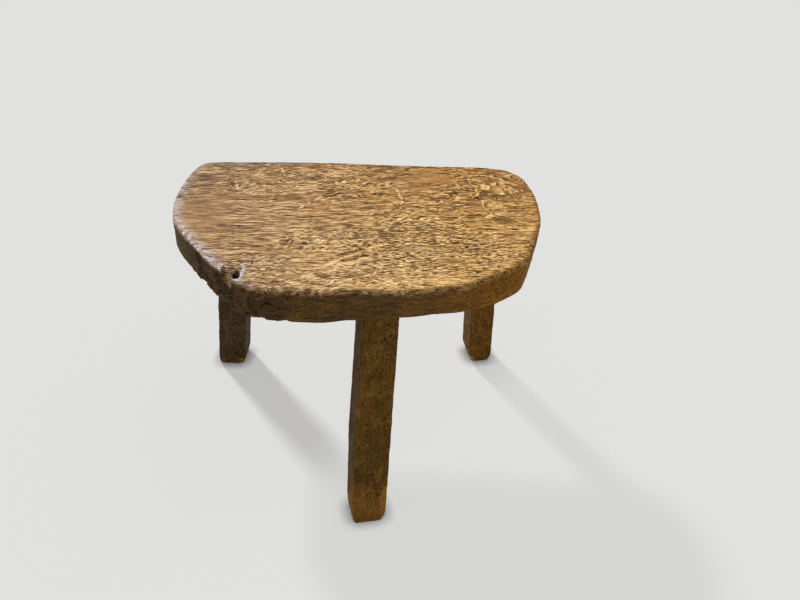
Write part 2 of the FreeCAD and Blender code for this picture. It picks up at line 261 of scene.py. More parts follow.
# Darker stains: middle and reach.
STAIN_SHARES = (
    ((-0.875, 0.710), (0.050, 0.065)), ((0.163, 0.505), (0.030, 0.036)),
    ((-0.342, 0.366), (0.060, 0.060)), ((0.520, -0.590), (0.050, 0.040)),
    ((0.800, -0.020), (0.070, 0.060)), ((0.660, 0.340), (0.050, 0.060)),
    ((0.190, -0.235), (0.070, 0.045)), ((0.020, -0.500), (0.070, 0.035)),
    ((0.030, -0.800), (0.060, 0.070)), ((-0.240, 0.700), (0.080, 0.050)),
)
# Where the face is worn smooth.
SMOOTH_SHARES = (
    ((-0.820, 0.050), (0.18, 0.46)), ((0.400, 0.700), (0.14, 0.20)),
    ((-0.880, 0.690), (0.06, 0.08)), ((0.655, 0.180), (0.05, 0.09)),
    ((-0.330, 0.360), (0.05, 0.07)), ((0.480, -0.590), (0.07, 0.05)),
)
# The sitting face's long worn hollows: middle, half length and half breadth.
FURROW_SHARES = (
    ((-0.42, 0.745), (0.26, 0.075)), ((0.46, 0.720), (0.24, 0.070)),
    ((-0.62, 0.550), (0.17, 0.070)), ((0.36, 0.545), (0.25, 0.080)),
    ((-0.42, 0.350), (0.20, 0.075)), ((0.09, 0.365), (0.21, 0.075)),
    ((0.68, 0.360), (0.19, 0.080)), ((-0.38, 0.160), (0.26, 0.075)),
    ((0.42, 0.165), (0.32, 0.075)), ((-0.29, -0.025), (0.22, 0.075)),
    ((0.62, -0.030), (0.21, 0.080)), ((-0.50, -0.210), (0.20, 0.075)),
    ((0.22, -0.220), (0.27, 0.075)), ((-0.26, -0.405), (0.25, 0.070)),
    ((0.55, -0.410), (0.24, 0.080)), ((0.10, -0.590), (0.20, 0.070)),
    ((0.48, -0.620), (0.14, 0.060)), ((0.14, -0.770), (0.20, 0.060)),
)
# The split in the front left rim: the chip's inner end, the hole beside it, and its pale lip.
CHIP_SHARE = (-0.585, -0.640)
SPLIT_SHARE = (-0.552, -0.755)
LIP_SHARES = ((-0.526, -0.645), (-0.510, -0.700), (-0.520, -0.770), (-0.537, -0.835))
# Notches in the front rim, most of them between the lumps of its left half.
NOTCH_SHARES = (
    (-0.478, -0.905), (-0.409, -0.950), (-0.338, -0.965), (-0.266, -0.975), (-0.178, -0.982),
    (-0.091, -0.985), (0.260, -0.985),
)
# The chip's half breadth, its fall towards the rim and its depth there. The hole's half sizes.
CHIP_HALF_BREADTH = 7.5 * MM
CHIP_FALL = 0.65
CHIP_DEPTH = 16 * MM
HOLE_HALF_SIZES = 6 * MM, 11 * MM
# A notch's half breadth, and how far it reaches in the face and in the rim's rounding.
NOTCH_HALF_BREADTH = 4.5 * MM
NOTCH_REACHES = 8 * MM, 20 * MM
# How far the rim's marks are drawn in where they are deepest.
LUMP_DEPTH = 2.4 * MM
LEDGE_DEPTH = 2.6 * MM
FLAKE_DEPTH = 2.4 * MM
CHIP_INSET = 5 * MM
NOTCH_INSET = 2 * MM
# Bands in which a mark of the face comes or goes, by how far in from the rim it is.
CALM_BAND = 2 * MM, 9 * MM
BLEACH_SHEEN_BAND = 4 * MM, 17 * MM
PALE_LUMP_BAND = 5 * MM, 14 * MM
EDGE_DARKENING_BAND = 0, 8 * MM
# The same for the rim's marks, by the depth below the top.
HEWN_BAND = 0, 6 * MM
SKIN_BAND = 2 * MM, 9 * MM
FLAKE_BAND = 4 * MM, 15 * MM
CHIP_BAND = 10 * MM, 20 * MM
NOTCH_BAND = 5 * MM, 14 * MM
BLEACH_SHEEN_RIM_BAND = 2 * MM, 5 * MM
GOLDEN_BAND = 3 * MM, 7 * MM
# The same for the split's marks, by its own depth, and for its lip, by the distance from it.
SPLIT_BAND = 1 * MM, 4 * MM
HOLE_BAND = 2 * MM, 7 * MM
LIP_BAND = 0.8 * MM, 2.8 * MM
# Where the grain turns in arcs: the arcs' centre, the place that shows them, and its reach.
EYE_SHARES = (
    ((0.640, 0.590), (0.830, 0.545), (0.17, 0.24)),
    ((-0.560, 0.560), (-0.640, 0.560), (0.08, 0.13)),
    ((-0.100, 0.200), (-0.190, 0.300), (0.09, 0.15)),
)


def size(name, description, default, least=0):
    """A property that holds one of the stool's or the stage's sizes, in metres."""
    return FloatProperty(
        name=name, description=description, default=default, min=least, unit="LENGTH")


def colour(name, description, default):
    """A property that holds one of the wood's or the stage's colours."""
    return FloatVectorProperty(
        name=name, description=description, default=default, min=0, max=1, subtype="COLOR")


class SeatSizes(bpy.types.PropertyGroup):
    relief: size("Relief", "Weathered fibres, from their tops to their hollows", 1.7 * MM)
    furrow_depth: size("Worn hollows", "Depth of the long hollows along the grain", 1.3 * MM)
    rim_round: size("Rim rounding", "Usual radius of the worn upper rim", 4.5 * MM, 0.5 * MM)
    rim_wear: FloatProperty(
        name="Rim wear", description="How unevenly the upper rim is worn",
        default=0.9, min=0, max=2, subtype="FACTOR")
    under_round: size("Under rounding", "Radius of the lower rim", 2.5 * MM, 0.5 * MM)
    hew_depth: size("Hewing", "Depth of the tool's flats on the rim", 1.6 * MM)
    cleft_drop: size("Split", "Depth of the hole in the split front left rim", 27 * MM)
    notch_depth: size("Notches", "Depth of the notches in the front rim", 5 * MM)


class LegSizes(bpy.types.PropertyGroup):
    corner_round: size("Corner rounding", "Usual radius of a leg's corners", 3 * MM, 0.5 * MM)
    hew_depth: size("Hewing", "Depth of the tool's flats on the legs", 1.1 * MM)
    grain_depth: size("Grain", "Depth of the furrows along the legs", 0.5 * MM)
    foot_wear: size("Foot wear", "Height of the broken, worn wood of each foot", 16 * MM)


class WoodColours(bpy.types.PropertyGroup):
    hollow: colour("Hollow", "Sitting face, between its ridges", (0.120, 0.052, 0.015))
    plain: colour("Plain", "Sitting face, its usual tan", (0.512, 0.257, 0.071))
    ridge: colour("Ridge", "Sitting face, pale tops of its ridges", (0.920, 0.595, 0.230))
    pit: colour("Pit", "Holes, cracks and the split", (0.016, 0.010, 0.006))
    # Weathered grey wood of the left rim with painted cool glints, and a painted grey sheen on the
    # legs' left faces.
    bleached_and_sheen: colour("Bleached", "Weathered grey wood of the left rim", (0.640, 0.625, 0.690))
    raw: colour("Raw", "Broken wood, amber", (0.570, 0.270, 0.055))
    skin_cool: colour("Cool skin", "Old surface of the left rim", (0.085, 0.052, 0.022))
    skin_warm: colour("Warm skin", "Old surface of the right rim", (0.316, 0.130, 0.009))
    front_leg: colour("Front leg", "Front leg's brown", (0.172, 0.086, 0.015))
    rear_left_leg: colour("Rear left leg", "Rear left leg's dark brown", (0.088, 0.052, 0.021))
    rear_right_leg: colour("Rear right leg", "Rear right leg's brown", (0.190, 0.085, 0.010))
    wedge: colour("Wedge", "Hidden wedges, unweathered", (0.360, 0.200, 0.080))


class StageSettings(bpy.types.PropertyGroup):
    ground: colour("Ground", "Floor and background", (0.755, 0.755, 0.740))
    shadow_share: FloatProperty(
        name="Shadow", description="Share of the floor's colour that the lights make",
        default=0.155, min=0, max=1, subtype="FACTOR")
    shadow_deepening: FloatProperty(
        name="Rear shadows", description="How much deeper the rear legs' shadows are",
        default=1.5, min=0)
    contact: size("Contact shadow", "How far the darkness round a foot reaches", 17 * MM)
    sun_strength: FloatProperty(name="Key light", description="Its strength", default=3.78, min=0)
    sun_spread: FloatProperty(
        name="Key softness", description="How wide the key light looks from the stool",
        default=math.radians(7), min=0, unit="ROTATION")
    sky_strength: FloatProperty(
        name="Fill light", description="Strength of the light from all round", default=0.32, min=0)
    lens: FloatProperty(
        name="Lens", description="Focal length on a 36 mm sensor, in millimetres",
        default=45, min=1)
    pitch: FloatProperty(
        name="Camera pitch", description="How far the camera looks down",
        default=math.radians(32), unit="ROTATION")
    place: FloatVectorProperty(
        name="Camera place", description="Where the camera stands",
        default=(0.0552, -1.0745, 0.8727), unit="LENGTH", subtype="TRANSLATION")


class StoolSettings(bpy.types.PropertyGroup):
    seat: PointerProperty(type=SeatSizes)
    legs: PointerProperty(type=LegSizes)
    colours: PointerProperty(type=WoodColours)
    stage: PointerProperty(type=StageSettings)


def noise(x, y, z, seed):
    """Gradient noise, about -1 to 1. A random slope stands at each corner of the unit cell
    round a point, and the eight slopes' heights there are blended by 6t^5 - 15t^4 + 10t^3.
    Each use has its own seed, or its own z. A place divided by a length makes patches about
    that long."""
    random = np.random.default_rng(seed)
    order = random.permutation(256)
    slopes = random.normal(size=(256, 3))
    slopes /= np.linalg.norm(slopes, axis=1, keepdims=True)
    place = np.stack(np.broadcast_arrays(x, y, z), axis=-1)
    cell = np.floor(place).astype(int)
    inside = place - cell
    fade = inside**3 * (inside * (inside * 6 - 15) + 10)
    total = 0
    for corner in itertools.product((0, 1), repeat=3):
        index = 0
        for axis, step in enumerate(corner):
            index = order[(index + cell[..., axis] + step) % 256]
        height = ((inside - corner) * slopes[index]).sum(axis=-1)
        total = total + height * np.where(corner, fade, 1 - fade).prod(axis=-1)
    return total * 1.6


def smooth(low, high, value):
    """0 below low, 1 above high, and 3t^2 - 2t^3 between them."""
    share = np.clip((value - low) / (high - low), 0, 1)
    return share * share * (3 - 2 * share)


def fall(low, high, value):
    """1 below low, 0 above high, and smooth between them."""
    return 1 - smooth(low, high, value)


def steps(x, y, seed):
    """Terraces: a noise n turned into n / sqrt(n^2 + 0.13^2), -1 to 1 with steep steps."""
    value = noise(x, y, 0, seed)
    return value / np.sqrt(value**2 + 0.13**2)


def crest(value, width):
    """1 where a noise crosses zero, falling to 0 where it reaches width: winding lines."""
    return fall(0, width, np.abs(value))


def spot(x, y, place, reach):
    """A smooth bump of 1 at place, exp(-d^2), with d counted in reaches."""
    return np.exp(-(((x - place[0]) / reach[0]) ** 2) - ((y - place[1]) / reach[1]) ** 2)


def line_distance(x, y, points):
    """How far each place is from a chain of straight runs through points."""
    nearest = np.full(np.shape(x), np.inf)
    for start, end in zip(points[:-1], points[1:]):
        run = end - start
        share = ((x - start[0]) * run[0] + (y - start[1]) * run[1]) / (run @ run)
        share = np.clip(share, 0, 1)
        away = np.hypot(x - start[0] - share * run[0], y - start[1] - share * run[1])
        nearest = np.minimum(nearest, away)
    return nearest


def arc_inset(travel, radius):
    """A quarter circle's inset, r - sqrt(r^2 - (r - t)^2), at travel t past its start."""
    left = np.clip(1 - travel / radius, 0, 1)
    return radius * (1 - np.sqrt(1 - left**2))


def seat_box():
    """The seat's lowest and highest corners, its middle and its half sizes, as arrays."""
    low, high = (np.array(corner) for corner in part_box("seat_slab"))
    return low, high, (low + high) / 2, (high - low) / 2


def on_seat(shares):
    """Places in the seat's plan from shares of its half width and depth."""
    middle, half = seat_box()[2:]
    return middle[:2] + np.array(shares) * half[:2]


def outline_ring():
    """The seat's outline: a closed cubic curve through its points, with a slope at each of
    half the way between its neighbours, resampled so that each side has equal steps. Gives
    the ring's places, outward normals and arc lengths."""
    sides = (FRONT_SHARES, RIGHT_SHARES, BACK_SHARES, LEFT_SHARES)
    points = on_seat(sum(sides, ()))
    share = (np.arange(CURVE_CELLS) / CURVE_CELLS)[None, :, None]
    before, start, end, after = (np.roll(points, 1 - k, axis=0)[:, None] for k in range(4))
    curve = 0.5 * (
        2 * start + (end - before) * share
        + (2 * before - 5 * start + 4 * end - after) * share**2
        + (3 * start - before - 3 * end + after) * share**3
    ).reshape(-1, 2)
    closed = np.vstack([curve, curve[:1]])
    travelled = np.append(0, np.cumsum(np.hypot(*np.diff(closed, axis=0).T)))
    corners = CURVE_CELLS * np.cumsum([0] + [len(side) for side in sides])
    arc = np.concatenate([
        np.linspace(travelled[first], travelled[last], cells, endpoint=False)
        for first, last, cells in zip(corners, corners[1:], (GRAIN_CELLS, CROSS_CELLS) * 2)
    ])
    places = np.stack([np.interp(arc, travelled, closed[:, axis]) for axis in (0, 1)], axis=1)
    along = np.roll(places, -3, axis=0) - np.roll(places, 3, axis=0)
    along /= np.linalg.norm(along, axis=1, keepdims=True)
    return places, np.stack([along[:, 1], -along[:, 0]], axis=1), arc


def ruled_grid(ring, columns, rows):
    """The grid of places inside a closed ring that starts at its front left corner: each
    place is the sum of the ruled surfaces front to back and left to right, less the bilinear
    one through the four corners."""
    closed = np.vstack([ring, ring[:1]])
    front = closed[: columns + 1]
    right = closed[columns : columns + rows + 1]
    back = closed[columns + rows : 2 * columns + rows + 1][::-1]
    left = closed[2 * columns + rows :][::-1]
    u = np.linspace(0, 1, columns + 1)[None, :, None]
    v = np.linspace(0, 1, rows + 1)[:, None, None]
    ruled = (1 - v) * front[None] + v * back[None] + (1 - u) * left[:, None] + u * right[:, None]
    front_ends, back_ends = ((1 - u) * side[0] + u * side[-1] for side in (front, back))
    return ruled - ((1 - v) * front_ends + v * back_ends)


def ring_indices(columns, rows):
    """Where a grid's edge vertices stand in it, anticlockwise from the front left corner."""
    index = np.arange((columns + 1) * (rows + 1)).reshape(rows + 1, columns + 1)
    return np.concatenate([
        index[0, :-1], index[:-1, -1], index[-1, :0:-1], index[:0:-1, 0],
    ])


def grid_faces(columns, rows):
    """The grid's quads, facing up."""
    index = np.arange((columns + 1) * (rows + 1)).reshape(rows + 1, columns + 1)
    corners = index[:-1, :-1], index[:-1, 1:], index[1:, 1:], index[1:, :-1]
    return np.stack([corner.ravel() for corner in corners], axis=1)


def band_faces(upper, lower):
    """Quads between two closed rings of vertices, facing out from anticlockwise rings."""
    return np.stack([lower, np.roll(lower, -1), np.roll(upper, -1), upper], axis=1)


def stitch(fine, coarse):
    """Triangles between two rings, the fine one outside: a fan from each coarse vertex to the
    fine ones that belong to it, and one triangle on to the next coarse vertex."""
    times = len(fine) // len(coarse)
    fans = fine.reshape(-1, times)
    following = np.roll(fine, -1).reshape(-1, times)
    hub, hub_next = coarse, np.roll(coarse, -1)
    triangles = [
        np.stack([fans[:, k], hub, following[:, k]], axis=1) for k in range(times)
    ]
    triangles.append(np.stack([following[:, -1], hub, hub_next], axis=1))
    return np.vstack(triangles)


def grain_flow(x, y):
    """How far the grain has strayed across its run: slow waves, and a push away from each
    knot that fades with the distance."""
    flow = 6 * noise(x / 90, y / 55, 0, 11) + 2.4 * noise(x / 27, y / 18, 0, 12)
    for place in on_seat(KNOT_SHARES) / MM:
        flow += 0.55 * (y - place[1]) * spot(x, y, place, (17, 11))
    return flow


def worn_hollows(x, y, depth):
    """The long hollows' depth, as in the solid: an arc across the grain, swept on a far larger
    arc along it. An arc's radius is (half^2 + depth^2) / (2 depth), for half its length."""
    half = seat_box()[3][:2]
    drop = np.zeros_like(x)
    for middle, reach in FURROW_SHARES:
        place = on_seat(middle)
        along, across = ((half * reach) ** 2 + depth**2) / (2 * depth)
        from_axis = along - across + np.sqrt(np.maximum(across**2 - (y - place[1]) ** 2, 0))
        below = np.sqrt(np.maximum(from_axis**2 - (x - place[0]) ** 2, 0)) - (along - depth)
        drop = np.maximum(drop, below)
    return drop


def curl(x, y, bent):
    """The grain's own cross coordinate where it turns in arcs: there a place's distance from
    the arcs' centre takes the place of its distance across the grain."""
    middle, half = (part[:2] / MM for part in seat_box()[2:])
    ragged = 0.35 * noise(x / 17, y / 13, 0, 19)
    for centre, place, reach in EYE_SHARES:
        eye, shown = (middle + np.array(shares) * half for shares in (centre, place))
        share = 0.45 * smooth(0.3, 0.8, spot(x, y, shown, np.array(reach) * half) + ragged)
        away = np.hypot(0.75 * (x - eye[0]), y - eye[1])
        bent = bent + share * (eye[1] + away - bent)
    return bent


def chain_relief(x, y, chains, width):
    """1 along chains of places given as shares, falling to 0 at width on both sides, and the
    distance from them. The lines sway, and wear away in places."""
    sway_x, sway_y = (4 * noise(x / 12, y / 8, side, 31) for side in (0, 7))
    reach = width * (1 + 0.5 * noise(x / 14, y / 10, 0, 34))
    away = np.full(np.shape(x), np.inf)
    for points in chains:
        away = np.minimum(away, line_distance(x + sway_x, y + 0.7 * sway_y, on_seat(points) / MM))
    away = away + 3 * smooth(0.1, 0.5, noise(x / 12, y / 8, 0, 35))
    return fall(0.2 * reach, reach, away), away


def patches(x, y, spots, seed):
    """1 inside spots given as shares, falling to 0 past their ragged edges."""
    middle, half = (part[:2] / MM for part in seat_box()[2:])
    across, back = (x - middle[0]) / half[0], (y - middle[1]) / half[1]
    found = np.zeros_like(x)
    for place, reach in spots:
        found = np.maximum(found, spot(across, back, place, reach))
    return smooth(0.25, 0.65, found + 0.25 * noise(x / 16, y / 11, 0, seed))


def face_marks(x, y):
    """The marks with places of their own on the face, each a mask of 0 to 1: raised veins and
    the troughs beside them, strands and splinters and the crevices beside them, cracks and
    holes, and stains."""
    vein, beyond = chain_relief(x, y, VEIN_SHARES, 2.3)
    trough = smooth(1.5, 2.6, beyond) * fall(3.0, 5.5, beyond)
    strand, past = chain_relief(x, y, STRAND_SHARES, 7.0)
    strand *= 0.75 + 0.25 * np.cos(past * 2.2)
    beside = chain_relief(x, y - 7, STRAND_SHARES, 3.2)[0] * (1 - strand)
    for points in SPLINTER_SHARES:
        away = line_distance(x, y, on_seat(points) / MM)
        strand = np.maximum(strand, fall(1.0, 2.6, away))
    crack = np.zeros_like(x)
    wavering = y + 1.6 * noise(x / 14, y / 9, 0, 32)
    for points in CRACK_SHARES:
        away = line_distance(x, wavering, on_seat(points) / MM)
        crack = np.maximum(crack, fall(0.2, 1.3, away))
    crack *= smooth(-0.5, 0.1, noise(x / 16, y / 9, 0, 33))
    for place in on_seat(HOLE_SHARES) / MM:
        crack = np.maximum(crack, smooth(0.35, 0.8, spot(x, y, place, (2.6, 1.9))))
    return vein, trough, strand, beside, crack, patches(x, y, STAIN_SHARES, 40)


def sitting_face(x, y):
    """The weathered face over its plan, in millimetres. Long lines along the grain, winding
    veins, short crumbs and smooth patches each have their places. Their noises are added up
    about a middle height, the marks are added to them, and the paleness follows the height.
    Gives the height and the paleness as 0 to 1, masks of pits and amber wood, the grain's own
    cross coordinate in metres, and how rough and how short the finest grain is."""
    smoothness = patches(x, y, SMOOTH_SHARES, 37)
    crumbly = patches(x, y, CRUMBLY_SHARES, 38) * (1 - smoothness)
    veined = patches(x, y, VEINED_SHARES, 39) * (1 - smoothness)
    calm = 1 - 0.5 * smoothness
    lined = calm * (1 - 0.6 * veined) * (1 - 0.55 * crumbly)

    bent = curl(x, y, y + grain_flow(x, y))
    curled = bent + (0.3 + veined) * (
        2.6 * noise(x / 12, y / 9, 0, 13) + 1.2 * noise(x / 6, y / 5, 0, 14))
    long_line = crest(noise(x / 50, bent / 6.2, 0, 21), 0.60)
    dash = steps(x / 14, curled / 3.8, 23)
    crumb = steps(x / 9, curled / 2.9, 25)
    grit = steps(x / 4.0, y / 3.0, 24)
    wind_x, wind_y = x + 5 * noise(x / 15, y / 15, 3, 15), y + 4 * noise(x / 15, y / 15, 5, 15)
    winding = crest(noise(wind_x / 21, wind_y / 13, 0, 16), 0.22)
    small_winding = crest(noise(wind_x / 13, curled / 7.5, 0, 17), 0.34)
    swell = noise(x / 60, bent / 16, 0, 26)
    pit = smooth(0.42, 0.65, noise(x / 8, bent / 3.2, 0, 28)) * calm
    pit *= smooth(-0.3, 0.4, noise(x / 40, y / 26, 0, 29) + 0.5 * crumbly)
    vein, trough, strand, beside, crack, stain = face_marks(x, y)

    height = 0.48 + 0.03 * swell + 0.07 * lined * (long_line - 0.5)
    height += (0.02 + 0.03 * veined) * calm * dash
    height += (0.02 + 0.02 * veined + 0.01 * crumbly) * calm * crumb
    height += 0.03 * crumbly * calm * grit + 0.05 * crumbly * (small_winding - 0.4)
    height += veined * (0.30 * winding + 0.16 * small_winding - 0.12)
    height += 0.30 * vein - 0.14 * trough + 0.30 * strand - 0.3 * beside - 0.10 * pit
    height = np.clip(height, 0, 1)
    pale = 0.49 + 0.70 * (height - 0.46) + 0.05 * swell - 0.05 * smoothness + 0.07 * crumbly
    # The crevices beside the strands are carved, hold raw wood, and are painted darker as the
    # strands' shadow.
    pale += 0.12 * vein + 0.10 * strand - 0.12 * beside - 0.15 * stain - 0.1 * pit
    amber = beside * smooth(-0.2, 0.3, noise(x / 12, y / 7, 0, 42))
    dark = np.maximum(0.15 * pit, crack)
    rough = calm * (1.0 + 0.50 * crumbly) * (1 - 0.6 * np.maximum(strand, vein))
    short = np.clip(0.9 * crumbly + 0.2 * veined, 0, 1)
    return height * (1 - crack), pale, dark, amber, curled * MM, rough, short


def cleft_drop(x, y, drop):
    """The split in the rim, in metres down: a chip that slopes out to the rim, and beside it
    a narrow leaning hole. Says too where the chip is the deeper."""
    chip, hole = on_seat(CHIP_SHARE), on_seat(SPLIT_SHARE)
    wander = MM * noise(x / (4 * MM), y / (4 * MM), 0, 41)
    across = (x + wander - chip[0] - 0.12 * (y - chip[1])) / CHIP_HALF_BREADTH
    slope = np.clip((chip[1] - y + 0.8 * wander) * CHIP_FALL, 0, CHIP_DEPTH)
    shallow = slope * fall(0.65, 1.0, np.abs(across))
    beside, along = x - hole[0] + (y - hole[1]) * 0.25 + wander, y - hole[1]
    away = np.hypot(beside / HOLE_HALF_SIZES[0], along / HOLE_HALF_SIZES[1])
    deep = drop * fall(0.55, 1.0, away)
    return np.maximum(shallow, deep), shallow > deep


def within(zone, bearing):
    """1 inside a zone of the rim, falling to 0 past its two ends."""
    growing, ending = zone
    return smooth(*growing, bearing) * fall(*ending, bearing)


def rim_radius(places, arc, sizes):
    """The upper rim's radius round the ring: its usual one by bearing, more where noise has
    worn it, and more again in the notches between the lumps of the front left. Gives the
    bearings and the notches too."""
    bearing = np.degrees(np.arctan2(*(places - on_seat((0, 0)))[:, ::-1].T)) % 360
    usual = np.interp(bearing, ROUNDING_BEARINGS, ROUNDING_SHARES, period=360)
    wear = np.abs(noise(arc / (34 * MM), 0, 0, 51)) + 0.6 * np.abs(noise(arc / (9 * MM), 0, 0, 52))
    lumpy, notched = within(LUMP_ZONE, bearing), within(NOTCHED_ZONE, bearing)
    notch = 0.5 * lumpy * smooth(0, 0.4, noise(arc / (3.6 * MM), 0, 0, 55))
    for place in on_seat(NOTCH_SHARES):
        notch += smooth(0.2, 0.9, spot(*places.T, place, (NOTCH_HALF_BREADTH, NOTCH_REACHES[1])))
    notch += 0.5 * notched * (1 - lumpy) * smooth(0.05, 0.4, noise(arc / (12 * MM), 0, 0, 54))
    return sizes.rim_round * (usual * (0.7 + sizes.rim_wear * wear) + 1.1 * notch), bearing, notch


def rim_relief(edge, z, depth, sizes):
    """The rim's hewn and weathered skin: flats left by the tool, terraces and winding threads
    along the grain, lumps and ledges of crust at the left, and flakes lost along the front's
    upper edge. Gives how far it is drawn in, and its lift, flakes, lumps and flats."""
    run, level = np.broadcast_to(edge.arc / MM, depth.shape), z / MM
    flat = noise(run / 38, level / 24, 0, 71)
    streak = steps(run / 24, (level + 2 * noise(run / 30, level / 15, 0, 77)) / 3.6, 72)
    crumb = steps(run / 7, level / 3.2, 78)
    thread = crest(noise(run / 19, level / 4.6, 0, 74), 0.2)
    lump = np.abs(noise(run / 9, level / 7, 0, 73))
    crusty = within(CRUST_ZONE, edge.bearing)
    ledge = smooth(-0.02, 0.10, noise(run / 17, level / 21, 0, 79) + 0.15 * crumb)
    below = smooth(*SKIN_BAND, depth)
    flake = smooth(0.15, 0.4, noise(run / 12, level / 9, 3, 75)) * fall(*FLAKE_BAND, depth)
    flake *= within(FLAKE_ZONE, edge.bearing)
    lift = 0.5 + 0.10 * flat + 0.08 * streak + 0.06 * crumb + 0.14 * (thread - 0.3)
    inset = sizes.hew_depth * np.clip(0.8 - lift, 0, 1) * smooth(*HEWN_BAND, depth)
    inset += crusty * below * (LUMP_DEPTH * lump + LEDGE_DEPTH * ledge) + FLAKE_DEPTH * flake
    lift = lift - crusty * (0.25 * lump + 0.08 * ledge)
    return inset, lift, flake, lump, flat


def seat_edge(sizes):
    """The line that the sitting face and the rim share: the outline, drawn in by a wavering
    noise and by the face's half of the rim's rounding. Gives the line and what else is known
    at each of its places, with how bleached the left rim is by bearing, and so how strong its
    painted cool glints are."""
    ring, outward, arc = outline_ring()
    radius, bearing, notch = rim_radius(ring, arc, sizes)
    waver = 0.9 * MM * noise(ring[:, 0] / (46 * MM), ring[:, 1] / (46 * MM), 0, 61)
    base = ring - outward * np.clip(waver, 0, None)[:, None]
    # Bleached grey wood and painted cool glints along the left rim, by bearing.
    bleached_and_sheen = (0.3 + 0.7 * smooth(*BLEACH_SHEEN_GROWTH, bearing)) * within(BLEACH_SHEEN_ZONE, bearing)
    return SimpleNamespace(
        ring=ring, outward=outward, arc=arc, radius=radius, bearing=bearing, notch=notch,
        base=base, bleached_and_sheen=bleached_and_sheen, line=base - outward * (HALF_TURN_SHARE * radius)[:, None])


def seat_face(edge, sizes):
    """The sitting face: a ruled grid inside the edge's line. Its height is the plank's top less
    the rim's rounding, the split, the long hollows, the notches and the weathered relief,
    which is calmer along the back edge. Gives its points and masks."""
    high, half = seat_box()[1::2]
    grid = ruled_grid(edge.line, GRAIN_CELLS, CROSS_CELLS).reshape(-1, 2)
    x, y = grid.T
    # The nearest of every second place on the line is found, to save time.
    second = np.arange(0, len(edge.line), 2)
    gap = grid.astype(np.float32)[:, None] - edge.line[second].astype(np.float32)
    nearest = second[(gap**2).sum(axis=-1).argmin(axis=1)]
    depth_in = -((grid - edge.line[nearest]) * edge.outward[nearest]).sum(axis=1)
    radius, bearing, bleached_and_sheen = edge.radius[nearest], edge.bearing[nearest], edge.bleached_and_sheen[nearest]
    drop = arc_inset(np.clip(depth_in, 0, None) + HALF_TURN_SHARE * radius, radius)
    bitten = np.zeros_like(x)
    ragged = x + MM * noise(x / (5 * MM), y / (4 * MM), 0, 56)
    for place in on_seat(NOTCH_SHARES):
        bitten += spot(ragged, y, place, (NOTCH_HALF_BREADTH, NOTCH_REACHES[0]))
    height, pale, pit, amber, cross, rough, short = sitting_face(x / MM, y / MM)
    split, chip = cleft_drop(x, y, sizes.cleft_drop)
    across, back = x / half[0], y / half[1]
    calm = 1 - 0.7 * fall(*CALM_BAND, depth_in) * smooth(0.3, 0.6, back)
    z = high[2] - drop - split - worn_hollows(x, y, sizes.furrow_depth)
    z -= sizes.notch_depth * bitten + calm * sizes.relief * (1 - height + 0.8 * pit)

    speckle = smooth(-0.35, 0.25, noise(x / (9 * MM), y / (7 * MM), 0, 81))
    # Painted cool glints, speckled over the bleached left rim.
    painted_glint = smooth(0.0, 0.35, noise(x / (3.2 * MM), y / (2.6 * MM), 0, 83))
    # The face is cooler to the left, darker to the back, and palest at the front right.
    tone = 0.62 + 0.16 * noise(x / (70 * MM), y / (45 * MM), 0, 82) + 0.75 * across
    tone -= 0.12 * smooth(0.3, 0.9, -back)
    right = smooth(-0.3, 0.2, across)
    front_right = right * smooth(0.2, 0.7, -back)
    pale = pale - 0.08 * back - 0.05 * smooth(0.4, 0.9, -across) + 0.07 * front_right
    pale -= 0.03 * smooth(0.1, 0.6, across) * smooth(-0.1, 0.5, back)
    pale -= 0.06 * smooth(0.0, 0.5, -across) * smooth(0.1, 0.6, -back)

    # Bleached wood lies along the rim, with painted cool glints at the left, and along the split's
    # lip; the face darkens towards the rim's skin along its edge; and raw wood lies in the chip, in
    # the notches and beside the strands.
    split_share = smooth(*SPLIT_BAND, split)
    lip = fall(*LIP_BAND, line_distance(x, y, on_seat(LIP_SHARES)))
    band = fall(*BLEACH_SHEEN_BAND, depth_in + 5 * MM * (speckle - 0.5))
    # The left rim's bleached band, speckled with painted cool glints.
    bleach_and_sheen = band * bleached_and_sheen * (0.08 + 0.3 * speckle + 0.8 * painted_glint * speckle)
    bleach_and_sheen = np.maximum(bleach_and_sheen, 0.85 * lip * (1 - split_share))
    lumps = within(PALE_LUMP_ZONE, bearing)
    lumps *= fall(*PALE_LUMP_BAND, depth_in) * fall(0.1, 0.5, bitten)
    bleach_and_sheen = np.maximum(bleach_and_sheen, 0.08 * lumps * speckle)
    hole = split_share * ~chip * smooth(*HOLE_BAND, split)
    golden = smooth(*GOLDEN_START, bearing) + (bearing < GOLDEN_END)
    # The face is darkened towards the rim's old skin along its edge, more on the golden rim.
    edge_darkening = smooth(0.3, 0.9, fall(*EDGE_DARKENING_BAND, depth_in))
    edge_darkening *= (0.25 * (1 - bleached_and_sheen) + 0.3 * golden) * fall(0.62, 0.85, pale)
    raw = np.maximum(0.55 * split_share * chip, 0.8 * amber) + 0.35 * smooth(0.3, 0.8, bitten)
    return np.column_stack([grid, z]), {
        "lift": pale, "pit": np.maximum(pit, hole) + 0.35 * split_share * chip, "skin": edge_darkening,
        "bleach_and_sheen": bleach_and_sheen, "raw": raw, "tone": tone, "cross": cross,
        "rough": rough * (1 + 0.12 * (right + front_right)),
        "short": np.clip(short + 0.3 * right, 0, 1.2),
    }


